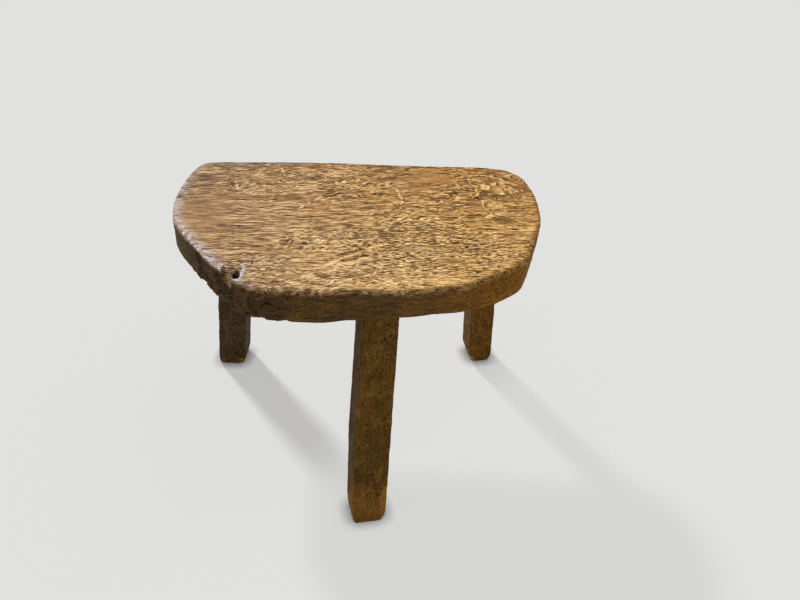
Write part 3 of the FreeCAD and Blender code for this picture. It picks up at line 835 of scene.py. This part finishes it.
def seat_rim(edge, top_z, sizes):
    """The rim: levels that hang from the face's edge. Each is the outline, drawn in by a
    quarter circle above, a parabola down to the underside, another quarter circle there, the
    hewn relief, the chip and the notches. Gives its points, how far its lowest level is drawn
    in, and its masks."""
    low, high, middle, half = seat_box()
    bearing, thickness = edge.bearing, 2 * half[2]
    undercut = np.interp(bearing, UNDERCUT_BEARINGS, UNDERCUT_SHARES, period=360) * thickness
    floor_z = low[2] + HALF_TURN_SHARE * sizes.under_round
    levels = (np.arange(1, RIM_CELLS + 1) / RIM_CELLS) ** 1.15  # Closer at the top.
    z = top_z + (floor_z - top_z) * levels[:, None]
    depth = high[2] - z
    relief, lift, flake, lump, flat = rim_relief(edge, z, depth, sizes)
    inset = arc_inset(depth, edge.radius) + undercut * (depth / thickness) ** 2
    inset += arc_inset(z - low[2], sizes.under_round) + relief
    chip = np.clip(CHIP_INSET - np.abs(edge.ring[:, 0] - on_seat(CHIP_SHARE)[0]), 0, None)
    chip *= edge.ring[:, 1] < middle[1]
    inset += chip * fall(*CHIP_BAND, depth)
    inset += NOTCH_INSET * edge.notch * fall(*NOTCH_BAND, depth)
    places = edge.base[None] - edge.outward[None] * inset[..., None]

    warmth = np.interp(bearing, WARMTH_BEARINGS, WARMTH_SHARES, period=360)
    # Bleached grey wood with painted cool glints on the left rim's lumps.
    bleach_and_sheen = edge.bleached_and_sheen * fall(*BLEACH_SHEEN_RIM_BAND, depth) * smooth(0.0, 0.5, lump)
    golden = 0.6 * smooth(0.2, 0.9, edge.notch) * fall(*GOLDEN_BAND, depth)
    points = np.concatenate([places, z[..., None]], axis=-1).reshape(-1, 3)
    return points, inset[-1], {
        "lift": lift, "pit": 0.25 * flake, "bleach_and_sheen": bleach_and_sheen, "raw": 0.7 * golden,
        "skin": smooth(*SKIN_BAND, depth) * (1 - 0.4 * flake), "tone": warmth + 0.15 * flat,
        "cross": places[..., 1], "rough": np.full_like(lift, 1.6), "short": np.full_like(lift, 0.1),
    }


def seat_underside(edge, inset, sizes):
    """The underside: a coarser ruled grid inside the rim's lowest level, with a little grain.
    Gives its points and masks."""
    low = seat_box()[0]
    ring = edge.base - edge.outward * (inset + 0.7 * sizes.under_round)[:, None]
    coarse = ring[:: GRAIN_CELLS // UNDER_CELLS[0]]
    places = ruled_grid(coarse, *UNDER_CELLS).reshape(-1, 2)
    grain = noise(places[:, 0] / (40 * MM), places[:, 1] / (7 * MM), 0, 76)
    z = low[2] + 0.5 * MM * np.clip(0.5 + grain, 0, 2)
    z[ring_indices(*UNDER_CELLS)] = low[2]
    return np.column_stack([places, z]), {
        "lift": 0.5, "pit": 0, "skin": 1, "bleach_and_sheen": 0, "raw": 0, "tone": 0.3,
        "cross": places[:, 1], "rough": 0.8, "short": 0.2,
    }


def seat_mesh(sizes):
    """The plank as one closed surface: the sitting face, the rim that hangs from it by rings
    of quads, and the underside, stitched to the rim's lowest ring. Gives its points, faces
    and masks."""
    edge = seat_edge(sizes)
    face, face_masks = seat_face(edge, sizes)
    edge_index = ring_indices(GRAIN_CELLS, CROSS_CELLS)
    rim, lowest, rim_masks = seat_rim(edge, face[edge_index, 2], sizes)
    under, under_masks = seat_underside(edge, lowest, sizes)

    rings = [edge_index, *(len(face) + np.arange(len(rim)).reshape(RIM_CELLS, -1))]
    start = len(face) + len(rim)
    quads = [grid_faces(GRAIN_CELLS, CROSS_CELLS)]
    quads += [band_faces(upper, lower) for upper, lower in zip(rings, rings[1:])]
    quads.append(start + grid_faces(*UNDER_CELLS)[:, ::-1])
    triangles = stitch(rings[-1], start + ring_indices(*UNDER_CELLS))
    masks = {
        name: np.concatenate([
            values, rim_masks[name].ravel(), np.broadcast_to(under_masks[name], len(under)),
        ])
        for name, values in face_masks.items()
    }
    return np.vstack([face, rim, under]), [np.vstack(quads), triangles], masks


def leg_turn(leg):
    """The matrix that turns a leg's own two level axes into the frame's X and Y."""
    angle = math.radians(LEG_TURN_ANGLES[leg])
    return np.array([[math.cos(angle), -math.sin(angle)], [math.sin(angle), math.cos(angle)]])


def leg_profile(leg):
    """A leg's levels, read from its solid, along the leg's own two level axes. Gives heights,
    middles and half sizes from the sole to the shoulder, then those of the tenon's two ends."""
    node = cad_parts[f"{leg}_leg"]
    points = np.zeros(len(node.data.vertices) * 3, np.float32)
    node.data.vertices.foreach_get("co", points)
    points = points.reshape(-1, 3).astype(float)
    own = points[:, :2] @ leg_turn(leg)
    thin = 0.2 * MM

    def extent(chosen):
        low, high = own[chosen].min(axis=0), own[chosen].max(axis=0)
        return (low + high) / 2, (high - low) / 2

    levels, counts = np.unique(points[:, 2].round(4), return_counts=True)
    levels = levels[counts > 20]  # Only whole sections: edges have few points between them.
    shoulder = levels[np.abs(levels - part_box("seat_slab")[0].z).argmin()]
    shaft = levels[levels <= shoulder]
    extents = [extent(np.abs(points[:, 2] - level) < thin) for level in shaft]
    middle, half = extents[-1]
    inner = np.abs(points[:, 2] - shoulder) < thin
    inner &= np.abs((own - middle) / half).max(axis=1) < 0.9
    tenon = [extent(inner), extent(points[:, 2] > levels[-1] - thin)]
    middles, halves = (np.array([row[k] for row in extents + tenon]) for k in (0, 1))
    return np.append(shaft, [shoulder, levels[-1]]), middles, halves


def even_levels(heights, middles, halves):
    """The shaft at even levels: its middles and half sizes, read between the solid's sections
    by straight lines and then smoothed by a running mean. No half size grows by more than
    0.2 mm."""
    shaft_z = np.linspace(heights[0], heights[-3], SHAFT_CELLS + 1)

    def read(values):
        return np.stack([np.interp(shaft_z, heights[:-2], values[:-2, k]) for k in (0, 1)], axis=1)

    def soften(values):
        past = SOFT_LEVELS // 2
        padded = np.pad(values, ((past, past), (0, 0)), mode="reflect", reflect_type="odd")
        even = np.ones(SOFT_LEVELS) / SOFT_LEVELS
        return np.stack([np.convolve(padded[:, k], even, mode="valid") for k in (0, 1)], axis=1)

    half = read(halves)
    return shaft_z, soften(read(middles)), np.minimum(soften(half), half + 0.2 * MM)


def rounded_section(middle, half, radius):
    """Rings of a rectangle with quarter circle corners, anticlockwise from the front left: a
    point goes round the square, is held inside the smaller rectangle of the corners' middles,
    and stands off it by the radius. Gives places and outward normals in rows and columns."""
    turn = np.arange(ROUND_CELLS) * 4 / ROUND_CELLS
    side, share = np.floor(turn).astype(int), turn % 1 * 2 - 1
    one = np.ones_like(share)
    square = np.stack([
        np.choose(side, (share, one, -share, -one)), np.choose(side, (-one, share, one, -share)),
    ], axis=1)
    corner = np.minimum(radius[..., None], 0.999 * half[:, None])
    place = square[None] * half[:, None]
    held = np.clip(place, corner - half[:, None], half[:, None] - corner)
    normal = place - held
    away = np.linalg.norm(normal, axis=-1, keepdims=True)
    normal = np.where(away > 0, normal / np.maximum(away, 1e-12), square[None])
    return middle[:, None] + held + corner * normal, normal


def leg_shaft(leg, seed, shaft_z, middle, half, sizes):
    """The shaft's surface: rounded rectangles up the levels, with corners more worn and
    broken towards the foot, drawn in by hewn flats, the grain's furrows, nicks, cracks and the
    foot's splinters, with low ripples left by the tool. Gives its places and masks."""
    z = np.repeat(shaft_z[:, None], ROUND_CELLS, axis=1)
    side = rounded_section(middle, half, np.zeros_like(z))[0] - middle[:, None]
    right, back = np.moveaxis(np.sign(side), -1, 0)
    foot = fall(0, sizes.foot_wear, z)
    worn = np.abs(noise(right * 3.3, back * 3.3, z / (26 * MM), seed))
    broken = foot * np.clip(0.5 + noise(right * 2.2, back * 2.2, z / (7 * MM), seed + 1), 0, 1)
    radius = sizes.corner_round * (0.6 + 0.9 * worn + 1.3 * broken)
    for chip_right, chip_back, top, depth in FOOT_CHIPS[leg]:
        chipped = (right == chip_right) & (back == chip_back)
        radius = radius + chipped * depth * MM * fall(0.3 * top * MM, top * MM, z)
    place, normal = rounded_section(middle, half, radius)

    a, t, level = place[..., 0] / MM, place[..., 1] / MM, z / MM
    flat = noise(a / 36, t / 36, level / 40, seed + 2)
    scallop = noise(a / 19, t / 19, level / 13, seed + 3)
    grain = noise(a / 2.8, t / 2.8, level / 55, seed + 4)
    fine = noise(a / 1.9, t / 1.9, level / 18, seed + 5)
    nick = smooth(0.3, 0.62, noise(a / 5 + level / 15, t / 5, level / 3, seed + 6))
    nick *= smooth(0.0, 0.4, noise(a / 30, t / 30, level / 60, seed + 7) + 0.15)
    crack = crest(noise(a / 12, t / 12, level / 190, seed + 8), 0.045)
    crack *= smooth(0.1, 0.4, noise(a / 20, t / 20, level / 45, seed + 9))
    splinter = np.clip(noise(a / 4, t / 4, level / 9, seed + 10) + 0.2, 0, 1) * foot
    waved = level + 0.3 * (a - t) + 2.5 * noise(a / 12, t / 12, level / 14, seed + 14)
    ripple = steps((a + t) / 9, waved / 2.2, seed + 15)
    ripple *= smooth(-0.2, 0.3, noise(a / 40, t / 40, level / 60, seed + 16) + 0.15)
    hewn = np.clip(0.5 + 0.35 * flat + 0.25 * scallop, 0, 1)
    furrow = np.clip(0.5 + 0.45 * grain + 0.25 * fine, 0, 1)
    inset = sizes.hew_depth * (1 - hewn) + sizes.grain_depth * (1 - furrow)
    inset += NICK_DEPTH * nick + CRACK_DEPTH * crack + SPLINTER_DEPTH * splinter
    inset -= RIPPLE_HEIGHT * ripple
    lift = 0.33 + 0.2 * hewn + 0.22 * furrow - 0.35 * nick - 0.2 * splinter + 0.09 * ripple

    # The faces turned to the left are painted darker in tone as shade, and greyer as a painted cool
    # sheen.
    left_face = smooth(0.5, 0.9, -normal[..., 0])
    amber = 0.5 * foot * smooth(-0.3, 0.5, noise(a / 8, t / 8, level / 10, seed + 12))
    amber += 0.5 * splinter
    amber_side, height = AMBER_EDGES[leg]
    edge = smooth(0.3, 0.7, amber_side * side[..., 0] / half[:, None, 0] + 0.15 * scallop)
    amber = np.maximum(amber, edge * fall(0.6 * height, height, level + 9 * scallop))
    ragged = level + 22 * noise(a / 9, t / 9, level / 26, seed + 13)
    amber = np.maximum(amber, FOOT_AMBER[leg] * fall(12, 75, ragged))
    return place - normal * inset[..., None], {
        "lift": np.clip(lift, 0, 1), "pit": crack, "skin": np.ones_like(z),
        # Painted shade and painted grey sheen on the left faces.
        "raw": np.clip(amber, 0, 1), "bleach_and_sheen": left_face * (0.01 + 0.02 * flat),
        "tone": np.clip(0.6 + 0.4 * scallop - 0.6 * left_face, 0, 1),
        "rough": 1.7 + 0.5 * scallop, "short": np.full_like(z, 0.2),
    }


def leg_mesh(leg, sizes):
    """A leg as one closed surface, rings carried up a path of levels: out from the middle of
    the sole, up the shaft, in over the shoulder, up the tenon and in again to the middle of
    its end. Gives its points, faces and masks."""
    heights, middles, halves = leg_profile(leg)
    seed = 100 * (1 + LEGS.index(leg))
    shaft_z, middle, half = even_levels(heights, middles, halves)
    shaft, shaft_masks = leg_shaft(leg, seed, shaft_z, middle, half, sizes)

    def between(first, last, cells):
        share = np.linspace(0, 1, cells + 1)[1:-1, None, None]
        return first * (1 - share) + last * share

    sole = between(middle[0], shaft[0], SOLE_CELLS)
    worn = noise(sole[..., 0] / (7 * MM), sole[..., 1] / (7 * MM), 0, seed + 11) + 0.2
    sole_z = heights[0] + np.clip(SOLE_WEAR * worn, 0, None)
    shaft[0] = middle[0] + (shaft[0] - middle[0]) * SOLE_EDGE_SHARE
    share = np.linspace(0, 1, TENON_CELLS + 1)[:, None]
    tenon_middle, tenon_half = (
        ends[-2] * (1 - share) + ends[-1] * share for ends in (middles, halves))
    corner = np.full((TENON_CELLS + 1, ROUND_CELLS), TENON_ROUND)
    tenon = rounded_section(tenon_middle, tenon_half, corner)[0]
    shoulder = between(shaft[-1], tenon[0], SHOULDER_CELLS)
    end = between(tenon[-1], middles[-1], END_CELLS)

    rows = np.concatenate([sole, shaft, shoulder, tenon, end])
    above = np.concatenate([
        np.full(len(shoulder), heights[-2]), np.linspace(heights[-2], heights[-1], TENON_CELLS + 1),
        np.full(len(end), heights[-1]),
    ])
    row_z = np.concatenate([
        sole_z, np.repeat(np.concatenate([shaft_z, above])[:, None], ROUND_CELLS, axis=1),
    ])
    poles = np.array([[*middles[0], heights[0]], [*middles[-1], heights[-1]]])
    points = np.vstack([np.concatenate([rows, row_z[..., None]], axis=-1).reshape(-1, 3), poles])
    points[:, :2] = points[:, :2] @ leg_turn(leg).T

    index = np.arange(rows.shape[0] * ROUND_CELLS).reshape(-1, ROUND_CELLS)
    quads = np.vstack([band_faces(upper, lower) for lower, upper in zip(index, index[1:])])
    bottom, top = (np.full(ROUND_CELLS, index.size + pole) for pole in (0, 1))
    triangles = np.vstack([
        np.stack([np.roll(index[0], -1), index[0], bottom], axis=1),
        np.stack([index[-1], np.roll(index[-1], -1), top], axis=1),
    ])
    masks = {
        name: np.concatenate([
            np.tile(values[0], len(sole)), values.ravel(),
            np.full(above.size * ROUND_CELLS, PLAIN_WOOD[name]), values[0, :1], [PLAIN_WOOD[name]],
        ])
        for name, values in shaft_masks.items()
    }
    return points, [quads, triangles], masks


def add(tree, kind, values=(), **settings):
    """A new node: settings are its own choices, and values fill its inputs with a plain
    value or link them to another node's socket."""
    made = tree.nodes.new(f"ShaderNode{kind}")
    for name, value in settings.items():
        setattr(made, name, value)
    for key, value in dict(values).items():
        if isinstance(value, bpy.types.NodeSocket):
            tree.links.new(value, made.inputs[key])
        else:
            made.inputs[key].default_value = value
    return made


def calculate(tree, operation, *values):
    """A Math node's result."""
    made = add(tree, "Math", enumerate(values), operation=operation)
    return made.outputs[0]


def blend(tree, share, first, second, way="MIX"):
    """Two colours mixed by a share. A colour is a socket or three numbers."""
    first, second = (
        value if isinstance(value, bpy.types.NodeSocket) else (*value, 1)
        for value in (first, second))
    made = add(tree, "Mix", {0: share, 6: first, 7: second}, data_type="RGBA", blend_type=way)
    return made.outputs[2]


def mask(tree, name):
    """One of the piece's own point attributes."""
    return add(tree, "Attribute", attribute_name=name).outputs["Fac"]


def new_material(name):
    """An empty node material and its tree."""
    material = bpy.data.materials.new(name)
    material.use_nodes = True
    material.node_tree.nodes.clear()
    return material, material.node_tree


def finish_surface(tree, base, roughness, normal):
    """Dull principled wood on the material's output."""
    shader = add(tree, "BsdfPrincipled", {
        "Base Color": base, "Roughness": roughness, "Normal": normal,
        "Specular IOR Level": SPECULAR_LEVEL})
    add(tree, "OutputMaterial", {"Surface": shader.outputs[0]})


def grain_noises(tree, place, turn, axis, grain, bent=False):
    """Noises in the piece's own coordinates, drawn out along its grain, which runs along the
    axis. Bent ones take the piece's own cross coordinate for Y."""
    spot_in = add(tree, "TexCoord").outputs["Object"]
    if bent:
        apart = add(tree, "SeparateXYZ", {0: spot_in}).outputs
        joined = add(tree, "CombineXYZ", {0: apart[0], 1: mask(tree, "cross"), 2: apart[2]})
        spot_in = joined.outputs[0]
    found = []
    for along, across, detail in GRAIN_SHARES:
        sides = [grain[1] * across] * 3
        sides[axis] = grain[0] * along
        turned = add(tree, "Mapping", {
            "Vector": spot_in, "Location": place, "Rotation": turn, "Scale": sides},
            vector_type="TEXTURE")
        made = add(tree, "TexNoise", {
            "Vector": turned.outputs[0], "Scale": 1.0, "Detail": detail, "Roughness": 0.5,
            "Distortion": 0.35})
        found.append(made.outputs[0])
    return found


def sharpen(tree, value):
    """A noise about 0.5 stretched 5.5 times and cut off at -1 and 1: patches with crisp edges."""
    wide = calculate(tree, "MULTIPLY", calculate(tree, "SUBTRACT", value, 0.5), 5.5)
    return calculate(tree, "MAXIMUM", calculate(tree, "MINIMUM", wide, 1.0), -1.0)


def contour(tree, value, width):
    """1 where a noise passes 0.5, falling to 0 at width on both sides: thin winding lines."""
    away = calculate(tree, "ABSOLUTE", calculate(tree, "SUBTRACT", value, 0.5))
    return calculate(tree, "MAXIMUM", calculate(tree, "MULTIPLY_ADD", away, -1 / width, 1.0), 0.0)


def add_up(tree, start, *terms):
    """A running total: each term is a socket and the number it is multiplied by."""
    for value, share in terms:
        start = calculate(tree, "MULTIPLY_ADD", value, share, start)
    return start


def wood(name, colours, skin, place, turn, axis, grain, bent=False):
    """Weathered wood. Fibres, pores, gaps and loops are added up to lines, with long streaks on
    the face, and shorter and thinner ones where the grain is short or the old skin is left.
    Lift and lines choose between the face's three tans and shade the skin. Masks then lay
    bleached wood with painted cool glints and a painted grey sheen, raw wood and pits over
    both, and the lines raise the bump too. The noises are centred on place, turned and drawn
    out along the axis."""
    material, tree = new_material(name)
    lift, pit, skin_share, bleach_and_sheen, raw, tone, rough, short = (
        mask(tree, key) for key in (
            "lift", "pit", "skin", "bleach_and_sheen", "raw", "tone", "rough", "short"))
    fibre, pore, gap, loop = grain_noises(tree, place, turn, axis, grain, bent)
    streak, speck = (sharpen(tree, value) for value in (fibre, pore))
    gap, loop = (contour(tree, value, 0.11) for value in (gap, loop))
    streaky = add_up(tree, 0.28, (short, -0.12), (skin_share, -0.14))
    speckled = add_up(tree, 0.10, (short, 0.16))
    gaps = add_up(tree, -0.17, (skin_share, 0.39))
    lines = add_up(
        tree, 0.06, (streak, streaky), (speck, speckled), (gap, gaps), (loop, -0.09),
        (skin_share, -0.06))
    level = add_up(tree, lift, (lines, rough))

    ramp = add(tree, "ValToRGB", {0: level})
    stops = ramp.color_ramp.elements
    stops.new(0.5)
    for stop, at, tan in zip(stops, TAN_STOPS, (colours.hollow, colours.plain, colours.ridge)):
        stop.position, stop.color = at, (*tan, 1)
    face = ramp.outputs[0]
    face = blend(tree, tone, blend(tree, 1.0, face, COOL_TINT, "MULTIPLY"), face)
    old = blend(tree, tone, skin[0], skin[1])
    shade = add_up(tree, 0.55, (level, 0.9))
    grey = add(tree, "CombineColor", {0: shade, 1: shade, 2: shade}).outputs[0]
    old = blend(tree, 1.0, old, grey, "MULTIPLY")
    body = blend(tree, skin_share, face, old)
    # Bleached wood, painted cool glints and a painted grey sheen.
    body = blend(tree, bleach_and_sheen, body, colours.bleached_and_sheen)
    amber = blend(tree, calculate(tree, "ADD", fibre, 0.1), *AMBER_TINTS)
    body = blend(tree, raw, body, blend(tree, 1.0, colours.raw, amber, "MULTIPLY"))
    body = blend(tree, pit, body, colours.pit)
    gloss = add_up(tree, 0.66, (bleach_and_sheen, -0.22), (speck, 0.05))
    height = add_up(tree, lift, (lines, add_up(tree, 0.0, (rough, 1.1))))
    bump = add(tree, "Bump", {"Height": height, "Strength": 1.0, "Distance": BUMP_HEIGHT})
    finish_surface(tree, body, gloss, bump.outputs[0])
    return material


def add_piece(name, mesh_parts, material, node):
    """A new object from points, faces and masks, which stands for the named solid."""
    points, faces, masks = mesh_parts
    mesh = bpy.data.meshes.new(name)
    mesh.from_pydata(points.tolist(), [], sum((part.tolist() for part in faces), []))
    for key, values in masks.items():
        held = mesh.attributes.new(key, "FLOAT", "POINT")
        held.data.foreach_set("value", values.astype(np.float32))
    mesh.shade_smooth()
    mesh.materials.append(material)
    piece = bpy.data.objects.new(name, mesh)
    bpy.context.scene.collection.objects.link(piece)
    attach(piece, "root")
    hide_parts(node)


class STOOL_OT_seat(bpy.types.Operator):
    """Carve the weathered plank seat"""

    bl_idname = "stool.carve_seat"
    bl_label = "Carve Seat"

    def execute(self, context):
        stool = context.scene.stool
        colours = stool.colours
        skin = colours.skin_cool, colours.skin_warm
        material = wood("seat_wood", colours, skin, (0, 0, 0), (0, 0, 0), 0, SEAT_GRAIN, bent=True)
        add_piece("seat", seat_mesh(stool.seat), material, "seat_slab")
        return {"FINISHED"}


class STOOL_OT_legs(bpy.types.Operator):
    """Hew the three legs, each with its tenon"""

    bl_idname = "stool.hew_legs"
    bl_label = "Hew Legs"

    def execute(self, context):
        stool = context.scene.stool
        for leg in LEGS:
            node, slot = f"{leg}_leg", f"{leg}_leg_wood"
            heights, middles = leg_profile(leg)[:2]
            lean = Vector((*(leg_turn(leg) @ (middles[-3] - middles[0])), heights[-3] - heights[0]))
            tilt = Vector((0, 0, 1)).rotation_difference(lean).to_euler()
            shade = Vector(getattr(stool.colours, node))
            skin = [shade * times for times in LEG_SHADES]
            foot = tuple(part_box(node)[0])
            material = wood(slot, stool.colours, skin, foot, tilt, 2, LEG_GRAIN)
            add_piece(f"{leg}_post", leg_mesh(leg, stool.legs), material, node)
        return {"FINISHED"}


class STOOL_OT_wedges(bpy.types.Operator):
    """Finish the hidden wedges that spread the tenons"""

    bl_idname = "stool.finish_wedges"
    bl_label = "Finish Wedges"

    def execute(self, context):
        colours = context.scene.stool.colours
        material, tree = new_material("wedge_wood")
        fibre, pore = grain_noises(tree, (0, 0, 0), (0, 0, 0), 2, WEDGE_GRAIN)[:2]
        dark = [channel * WEDGE_SHADE for channel in colours.wedge]
        base = blend(tree, fibre, dark, colours.wedge)
        roughness = calculate(tree, "MULTIPLY_ADD", pore, 0.3, 0.5)
        bump = add(tree, "Bump", {"Height": fibre, "Strength": 0.4, "Distance": 0.4 * MM})
        finish_surface(tree, base, roughness, bump.outputs[0])
        for leg in LEGS:
            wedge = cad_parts[f"{leg}_wedge"]
            wedge.data.materials.clear()
            wedge.data.materials.append(material)
        return {"FINISHED"}


class STOOL_OT_stage(bpy.types.Operator):
    """Set the floor, the lights and the camera"""

    bl_idname = "stool.set_stage"
    bl_label = "Set Stage"

    def execute(self, context):
        stage = context.scene.stool.stage
        make_floor(stage)
        light_stage(context.scene, stage)
        place_camera(context.scene, stage)
        context.scene.view_settings.view_transform = "Standard"
        return {"FINISHED"}


def seen(tree):
    """1 where a ray comes from the camera, straight or by a mirror or glass."""
    path = add(tree, "LightPath").outputs
    most = calculate(tree, "MAXIMUM", path["Is Camera Ray"], path["Is Glossy Ray"])
    return calculate(tree, "MAXIMUM", most, path["Is Transmission Ray"])


def make_floor(stage):
    """One large pale sheet at the soles' level. To the camera, most of its colour is its own,
    and the rest is what the lights and shadows make. That part is larger behind the stool,
    where the rear legs' shadows fall. Close round the feet the colour is less by
    CONTACT_DARKNESS times how closed in the floor is. The paint is darker than the colour,
    so that the lit floor comes out in the colour itself."""
    corners = [(-1, -1, 0), (1, -1, 0), (1, 1, 0), (-1, 1, 0)]
    mesh = bpy.data.meshes.new("floor")
    mesh.from_pydata((np.array(corners) * FLOOR_REACH).tolist(), [], [(0, 1, 2, 3)])
    material, tree = new_material("floor_paint")
    openness = add(tree, "AmbientOcclusion", {"Distance": stage.contact}, samples=8).outputs["AO"]
    lit = calculate(tree, "MULTIPLY_ADD", openness, CONTACT_DARKNESS, 1 - CONTACT_DARKNESS)
    ground = blend(tree, calculate(tree, "MAXIMUM", lit, 0.0), (0, 0, 0), stage.ground)
    painted = blend(tree, 1.0, ground, (PAINT_SHARE,) * 3, "MULTIPLY")
    paint = add(tree, "BsdfDiffuse", {"Color": painted})
    glow = add(tree, "Emission", {"Color": ground, "Strength": 1.0})
    sides = add(tree, "SeparateXYZ", {0: add(tree, "TexCoord").outputs["Object"]}).outputs
    behind = calculate(tree, "SUBTRACT", sides[1], sides[0])
    deeper = add(tree, "MapRange", {
        0: behind, 1: DEEPER_FROM, 2: DEEPER_TO, 3: 1.0, 4: 1.0 + stage.shadow_deepening},
        interpolation_type="SMOOTHSTEP").outputs[0]
    own = calculate(tree, "MULTIPLY_ADD", deeper, -stage.shadow_share, 1.0)
    share = calculate(tree, "MULTIPLY", seen(tree), own)
    surface = add(tree, "MixShader", {0: share, 1: paint.outputs[0], 2: glow.outputs[0]})
    add(tree, "OutputMaterial", {"Surface": surface.outputs[0]})
    mesh.materials.append(material)
    floor = bpy.data.objects.new("floor", mesh)
    bpy.context.scene.collection.objects.link(floor)


def light_stage(scene, stage):
    """A soft key from high at the back left, and even light from all round."""
    lamp = bpy.data.lights.new("key", "SUN")
    lamp.energy, lamp.angle = stage.sun_strength, stage.sun_spread
    key = bpy.data.objects.new("key", lamp)
    key.rotation_euler = Vector(KEY_RUN).to_track_quat("-Z", "Y").to_euler()
    scene.collection.objects.link(key)
    world = bpy.data.worlds.new("studio")
    world.use_nodes = True
    tree = world.node_tree
    tree.nodes.clear()
    fill = add(tree, "Background", {"Color": (1, 1, 1, 1), "Strength": stage.sky_strength})
    backdrop = add(tree, "Background", {"Color": (*stage.ground, 1), "Strength": 1.0})
    both = add(tree, "MixShader", {0: seen(tree), 1: fill.outputs[0], 2: backdrop.outputs[0]})
    add(tree, "OutputWorld", {"Surface": both.outputs[0]})
    scene.world = world


def place_camera(scene, stage):
    """The camera at the photograph's own place and angle."""
    camera = bpy.data.cameras.new("camera")
    camera.lens, camera.sensor_width = stage.lens, 36
    view = bpy.data.objects.new("camera", camera)
    view.location = stage.place
    view.rotation_euler = (math.pi / 2 - stage.pitch, 0, 0)
    scene.collection.objects.link(view)
    scene.camera = view


class STOOL_PT_panel(bpy.types.Panel):
    """The stool's pieces and their sizes and colours"""

    bl_idname = "STOOL_PT_panel"
    bl_label = "Weathered Stool"
    bl_space_type = "VIEW_3D"
    bl_region_type = "UI"
    bl_category = "Stool"

    def draw(self, context):
        stool = context.scene.stool
        for settings, operator in (
                (stool.seat, STOOL_OT_seat), (stool.legs, STOOL_OT_legs),
                (stool.stage, STOOL_OT_stage)):
            box = self.layout.box()
            for name in settings.__annotations__:
                box.prop(settings, name)
            box.operator(operator.bl_idname)
        self.layout.operator(STOOL_OT_wedges.bl_idname)
        for name in stool.colours.__annotations__:
            self.layout.prop(stool.colours, name)


CLASSES = (
    SeatSizes, LegSizes, WoodColours, StageSettings, StoolSettings,
    STOOL_OT_seat, STOOL_OT_legs, STOOL_OT_wedges, STOOL_OT_stage, STOOL_PT_panel,
)


def register():
    for item in CLASSES:
        bpy.utils.register_class(item)
    bpy.types.Scene.stool = PointerProperty(type=StoolSettings)


def unregister():
    del bpy.types.Scene.stool
    for item in reversed(CLASSES):
        bpy.utils.unregister_class(item)


def main():
    register()
    bpy.ops.stool.carve_seat()
    bpy.ops.stool.hew_legs()
    bpy.ops.stool.finish_wedges()
    bpy.ops.stool.set_stage()


if __name__ == "__main__":
    main()
